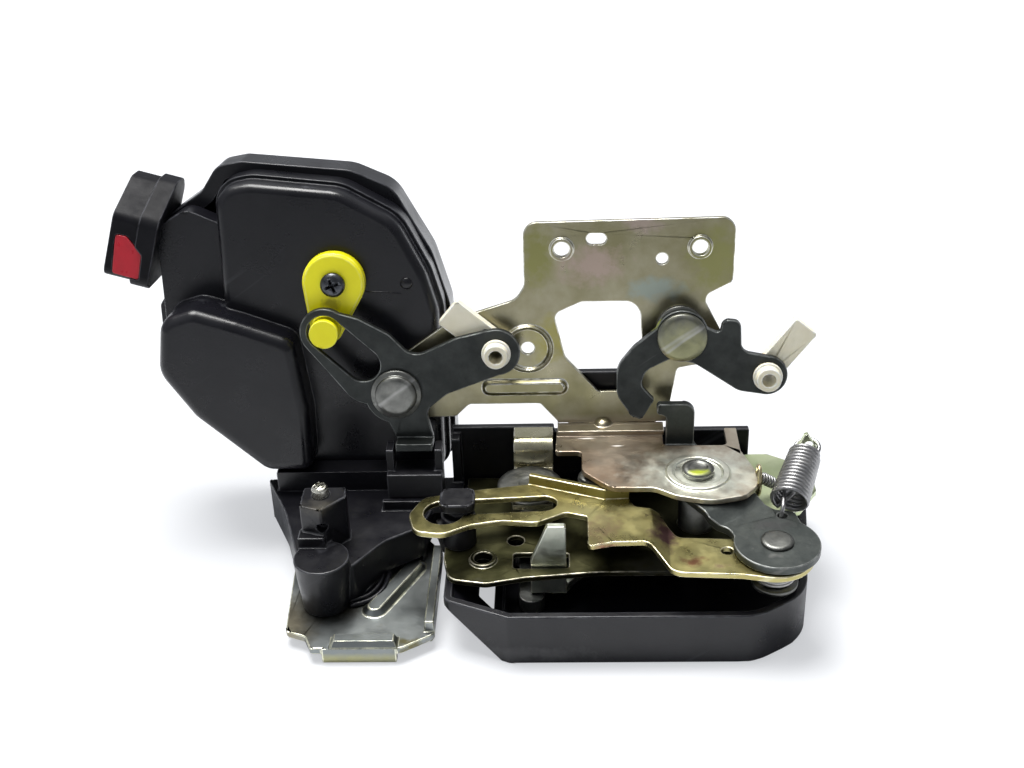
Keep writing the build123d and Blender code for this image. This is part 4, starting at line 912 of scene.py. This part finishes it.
# ------------------------------------------------------------------ rod levers
# Lock lever and handle lever, pressed from thick sheet and phosphated almost
# black, with polished edges and a dab of inspection paint beside the rivet.
dark_phosphate = finish(
    "dark_phosphate", (0.020, 0.023, 0.022), (0.036, 0.040, 0.038), 0.6, (0.34, 0.5),
    patch=130.0, seed=51.0, grain_scale=1400.0, grain_strength=0.18, marks=(0.12, 0.12, 0.115),
    mark_amount=0.70, worn=(0.17, 0.18, 0.175),
    stains=[(on_sheet(9.4, 33.2, 4.0), (2.6, 6.0, 3.2), (0.36, 0.42, 0.03), 0.6)],
)
rounded("lock_lever", dark_phosphate, "lock_lever", 0.32)
rounded("handle_lever", dark_phosphate, "handle_lever", 0.32)

# ------------------------------------------------------------------ rod clips
# Natural nylon clips, each snapped through a lever's eye, off-white and a little
# translucent, with grime in their corners.
clip_nylon = finish(
    "clip_nylon", (0.86, 0.82, 0.66), (0.79, 0.74, 0.56), 0.0, (0.36, 0.5), patch=90.0,
    seed=6.0, grain_strength=0.06, worn=(0.84, 0.84, 0.80),
    stains=[
        (on_sheet(-33.4, 24.6, 3.0), (5.5, 5.0, 5.0), (0.34, 0.32, 0.24), 1.0),
        (on_sheet(40.3, 17.4, 3.0), (5.5, 5.0, 5.0), (0.34, 0.32, 0.24), 1.0),
    ],
)
shader = clip_nylon.node_tree.nodes["Principled BSDF"]
shader.inputs["Subsurface Weight"].default_value = 0.12
shader.inputs["Subsurface Radius"].default_value = (0.0015, 0.0012, 0.0008)
rounded("lock_rod_clip", clip_nylon, "lock_rod_clip", 0.3)
rounded("handle_rod_clip", clip_nylon, "handle_rod_clip", 0.3)

# ------------------------------------------------------------------ drive lever
# The motor's output lever in bright yellow acetal, held by a cross-recessed
# screw of black steel.
acetal_yellow = finish(
    "acetal_yellow", (0.93, 0.87, 0.010), (0.87, 0.80, 0.008), 0.0, (0.28, 0.42), patch=70.0,
    seed=61.0, grain_scale=1200.0, grain_strength=0.05, worn=(0.88, 0.84, 0.12),
    stains=[(on_sheet(-78.6, 38.0, 2.0), (3.0, 3.0, 2.0), (0.50, 0.44, 0.02), 1.1)],
)
screw_black = finish(
    "screw_black", (0.045, 0.048, 0.055), (0.10, 0.105, 0.115), 0.9, (0.24, 0.42), patch=300.0,
    seed=63.0, grain_strength=0.15, worn=(0.3, 0.31, 0.33),
)
rounded("output_lever", acetal_yellow, "output", 0.3)
SCREW_AT = on_sheet(-77.6, 43.5, 0.0)
ARM_REACH = 2.0                # the recess's arms, from the screw's axis, in mm
ARM_HALF = 0.42                # half their width
RECESS_TURN = math.radians(20.0)
RECESS_LEVELS = ((4.6, 1.05), (2.5, 0.55))    # its height and scale, above and at its foot
screw = turned(
    "output_screw_turned",
    [(0, -8.0), (1.3, -8.0), (1.5, -7.6), (1.5, 2.2), (3.4, 2.2), (3.4, 3.3), (2.7, 3.95),
     (1.5, 4.2), (0, 4.2)],
    SCREW_AT, SHEET_NORMAL, screw_black, "output", cut=0.12,
)
# the cross recess is cut with a four-armed tool that narrows towards its tip
tool = bmesh.new()
outline = []
for quarter in range(4):
    angle = quarter * math.pi / 2 + RECESS_TURN
    for u, v in ((ARM_REACH, -ARM_HALF), (ARM_REACH, ARM_HALF), (ARM_HALF, ARM_HALF)):
        x = u * math.cos(angle) - v * math.sin(angle)
        y = u * math.sin(angle) + v * math.cos(angle)
        outline.append((x, y))
levels = [
    [tool.verts.new((x * scale * MM, y * scale * MM, height * MM)) for x, y in outline]
    for height, scale in RECESS_LEVELS
]
tool.faces.new(levels[0])
tool.faces.new(list(reversed(levels[1])))
skin(tool, levels)
tool_mesh = mesh_from(tool, "recess_tool")
tool_mesh.transform(standing(SCREW_AT, SHEET_NORMAL))
cutter = bpy.data.objects.new("recess_tool", tool_mesh)
bpy.context.scene.collection.objects.link(cutter)
recess = screw.modifiers.new("recess", "BOOLEAN")
recess.operation = "DIFFERENCE"
recess.object = cutter
ready = screw.evaluated_get(bpy.context.evaluated_depsgraph_get())
cut_mesh = bpy.data.meshes.new_from_object(ready)
screw.modifiers.clear()
screw.data = cut_mesh
bpy.data.objects.remove(cutter)
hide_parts("output_screw")

# ------------------------------------------------------------------ springs
# Coils of drawn wire: the long release spring hooked between the lever and its
# anchor, the torsion spring under the link, and the one behind the handle lever.
drawn_wire = finish(
    "drawn_wire", (0.30, 0.30, 0.305), (0.43, 0.425, 0.42), 1.0, (0.38, 0.5), patch=260.0,
    seed=8.0, grain_strength=0.08, marks=(0.6, 0.59, 0.56), mark_amount=0.68,
)
COIL_STEPS = 24                # points in one turn


def coil_path(foot, axis, across, start_r, end_r, length, turns, start_turn=0.0):
    """Points of a coil about an axis, as its radius and height change evenly."""
    axis = axis.normalized()
    across = (across - axis * across.dot(axis)).normalized()
    beside = axis.cross(across)
    points = []
    steps = int(turns * COIL_STEPS)
    for step in range(steps + 1):
        t = step / steps
        angle = 2 * math.pi * (start_turn + t * turns)
        radius = start_r + (end_r - start_r) * t
        spoke = across * math.cos(angle) + beside * math.sin(angle)
        points.append(foot + axis * (length * t) + spoke * radius)
    return points


SPRING_LOW = Vector((43.4, -0.6, 31.0))
ANCHOR_EYE = Vector((50.6, 17.2, 37.0))
LEVER_EYE = Vector((41.3, -3.9, 28.9))
run_axis = (ANCHOR_EYE - SPRING_LOW).normalized()
coils = coil_path(
    SPRING_LOW, run_axis, Vector((1, 0, 0)),
    start_r=4.65, end_r=3.85, length=16.4, turns=13.6, start_turn=0.35,
)
start, end = coils[0], coils[-1]
low_hook = [
    LEVER_EYE + Vector((0.2, 1.4, -2.4)),
    LEVER_EYE + Vector((-0.1, 0.2, -1.6)),
    LEVER_EYE + Vector((-0.3, -0.5, 0.6)),
    LEVER_EYE + Vector((0.1, 0.3, 2.6)),
    SPRING_LOW + run_axis * 1.6 + Vector((-1.6, -0.2, 1.4)),
    SPRING_LOW + run_axis * 1.2 + Vector((0.9, -0.4, 2.2)),
]
# the loop at the top stands upright through the anchor's eye
LOOP_RADIUS = 3.1
loop_middle = ANCHOR_EYE + run_axis * -1.2
loop_up = Vector((0.0, 0.0, 1.0))
loop_up = (loop_up - run_axis * loop_up.dot(run_axis)).normalized()
loop_side = run_axis.cross(loop_up)
top_loop = []
for degrees in range(-130, 150, 20):
    angle = math.radians(degrees)
    top_loop.append(
        loop_middle + run_axis * (LOOP_RADIUS * math.cos(angle))
        + loop_side * (LOOP_RADIUS * math.sin(angle))
    )
spring_points = (
    smooth_path([*low_hook, start], 6)[:-1] + coils + smooth_path([end, *top_loop], 4)[1:]
)
release_spring = wire(
    "release_spring_wire", spring_points, 1.15, drawn_wire, None, sides=9
)
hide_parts("release_spring")
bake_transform(release_spring)

LINK_AT = Vector((38.5, -15.5, 17.75))
link_coil = coil_path(
    LINK_AT, Vector((0, 0, 1)), Vector((1, 0, 0)),
    start_r=4.65, end_r=4.65, length=2.6, turns=2.9, start_turn=0.05,
)
link_legs = [link_coil[0] + Vector((0.6, -2.0, -0.1)), link_coil[0] + Vector((0.2, -1.0, 0.0))]
link_wire = wire(
    "link_spring_wire", link_legs + link_coil, 1.25, drawn_wire, "release"
)
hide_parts("link_spring")

handle_coil = coil_path(
    on_sheet(17.0, 29.0, 2.5), SHEET_NORMAL, Vector((0, 0, -1)),
    start_r=5.45, end_r=5.45, length=1.15, turns=1.9,
)
handle_wire = wire("handle_spring_wire", handle_coil, 1.1, drawn_wire, "frame")
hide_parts("handle_spring")

# a wire eyelet on the back plate's edge, with a short coil that hooks to it
brassy_wire = finish(
    "brassy_wire", (0.46, 0.40, 0.22), (0.60, 0.54, 0.34), 1.0, (0.24, 0.42), patch=220.0,
    seed=71.0, grain_strength=0.08,
)
EYELET_AT = Vector((36.3, 7.4, 32.2))
EYELET_STEPS = 24
eyelet = []
for step in range(EYELET_STEPS + 1):
    angle = 2 * math.pi * step / EYELET_STEPS + 0.4
    eyelet.append(EYELET_AT + Vector((0.0, 2.6 * math.cos(angle), 4.2 * math.sin(angle))))
wire("edge_eyelet", eyelet, 1.2, brassy_wire, "frame")
HOOK_END = Vector((36.4, 9.0, 31.8))
short_coil = coil_path(
    Vector((37.2, 9.6, 31.6)), Vector((4.2, 1.4, -3.2)), Vector((0, 0, 1)),
    start_r=1.3, end_r=1.3, length=4.6, turns=4.6,
)
wire("edge_hook", [HOOK_END, *short_coil], 0.75, drawn_wire, "frame", sides=8)

# ------------------------------------------------------------------ gear train and motor
# What the housing hides: acetal gears, a brass pinion, the motor's plated can,
# the idler's pin and the screws that hold the shells.
gear_acetal = finish(
    "gear_acetal", (0.74, 0.73, 0.68), (0.70, 0.69, 0.63), 0.0, (0.35, 0.5), patch=90.0,
    seed=3.0, grain_strength=0.03, worn=(0.8, 0.8, 0.76),
)
can_zinc = finish(
    "can_zinc", (0.52, 0.54, 0.56), (0.66, 0.68, 0.68), 1.0, (0.22, 0.42), patch=60.0,
    seed=19.0, grain_strength=0.06, marks=(0.3, 0.3, 0.29), mark_amount=0.68,
    worn=(0.75, 0.76, 0.77),
)
rounded("output_shaft", gear_acetal, "output", 0.15)
rounded("idler_gear", gear_acetal, "idler", 0.12)
rounded("motor_pinion", pin_brass, "pinion", 0.08)
rounded("motor", can_zinc, "frame", 0.3)
rounded("idler_pin", rivet_steel, "frame", 0.2)
rounded("shell_screws", rivet_steel, "frame", 0.15)
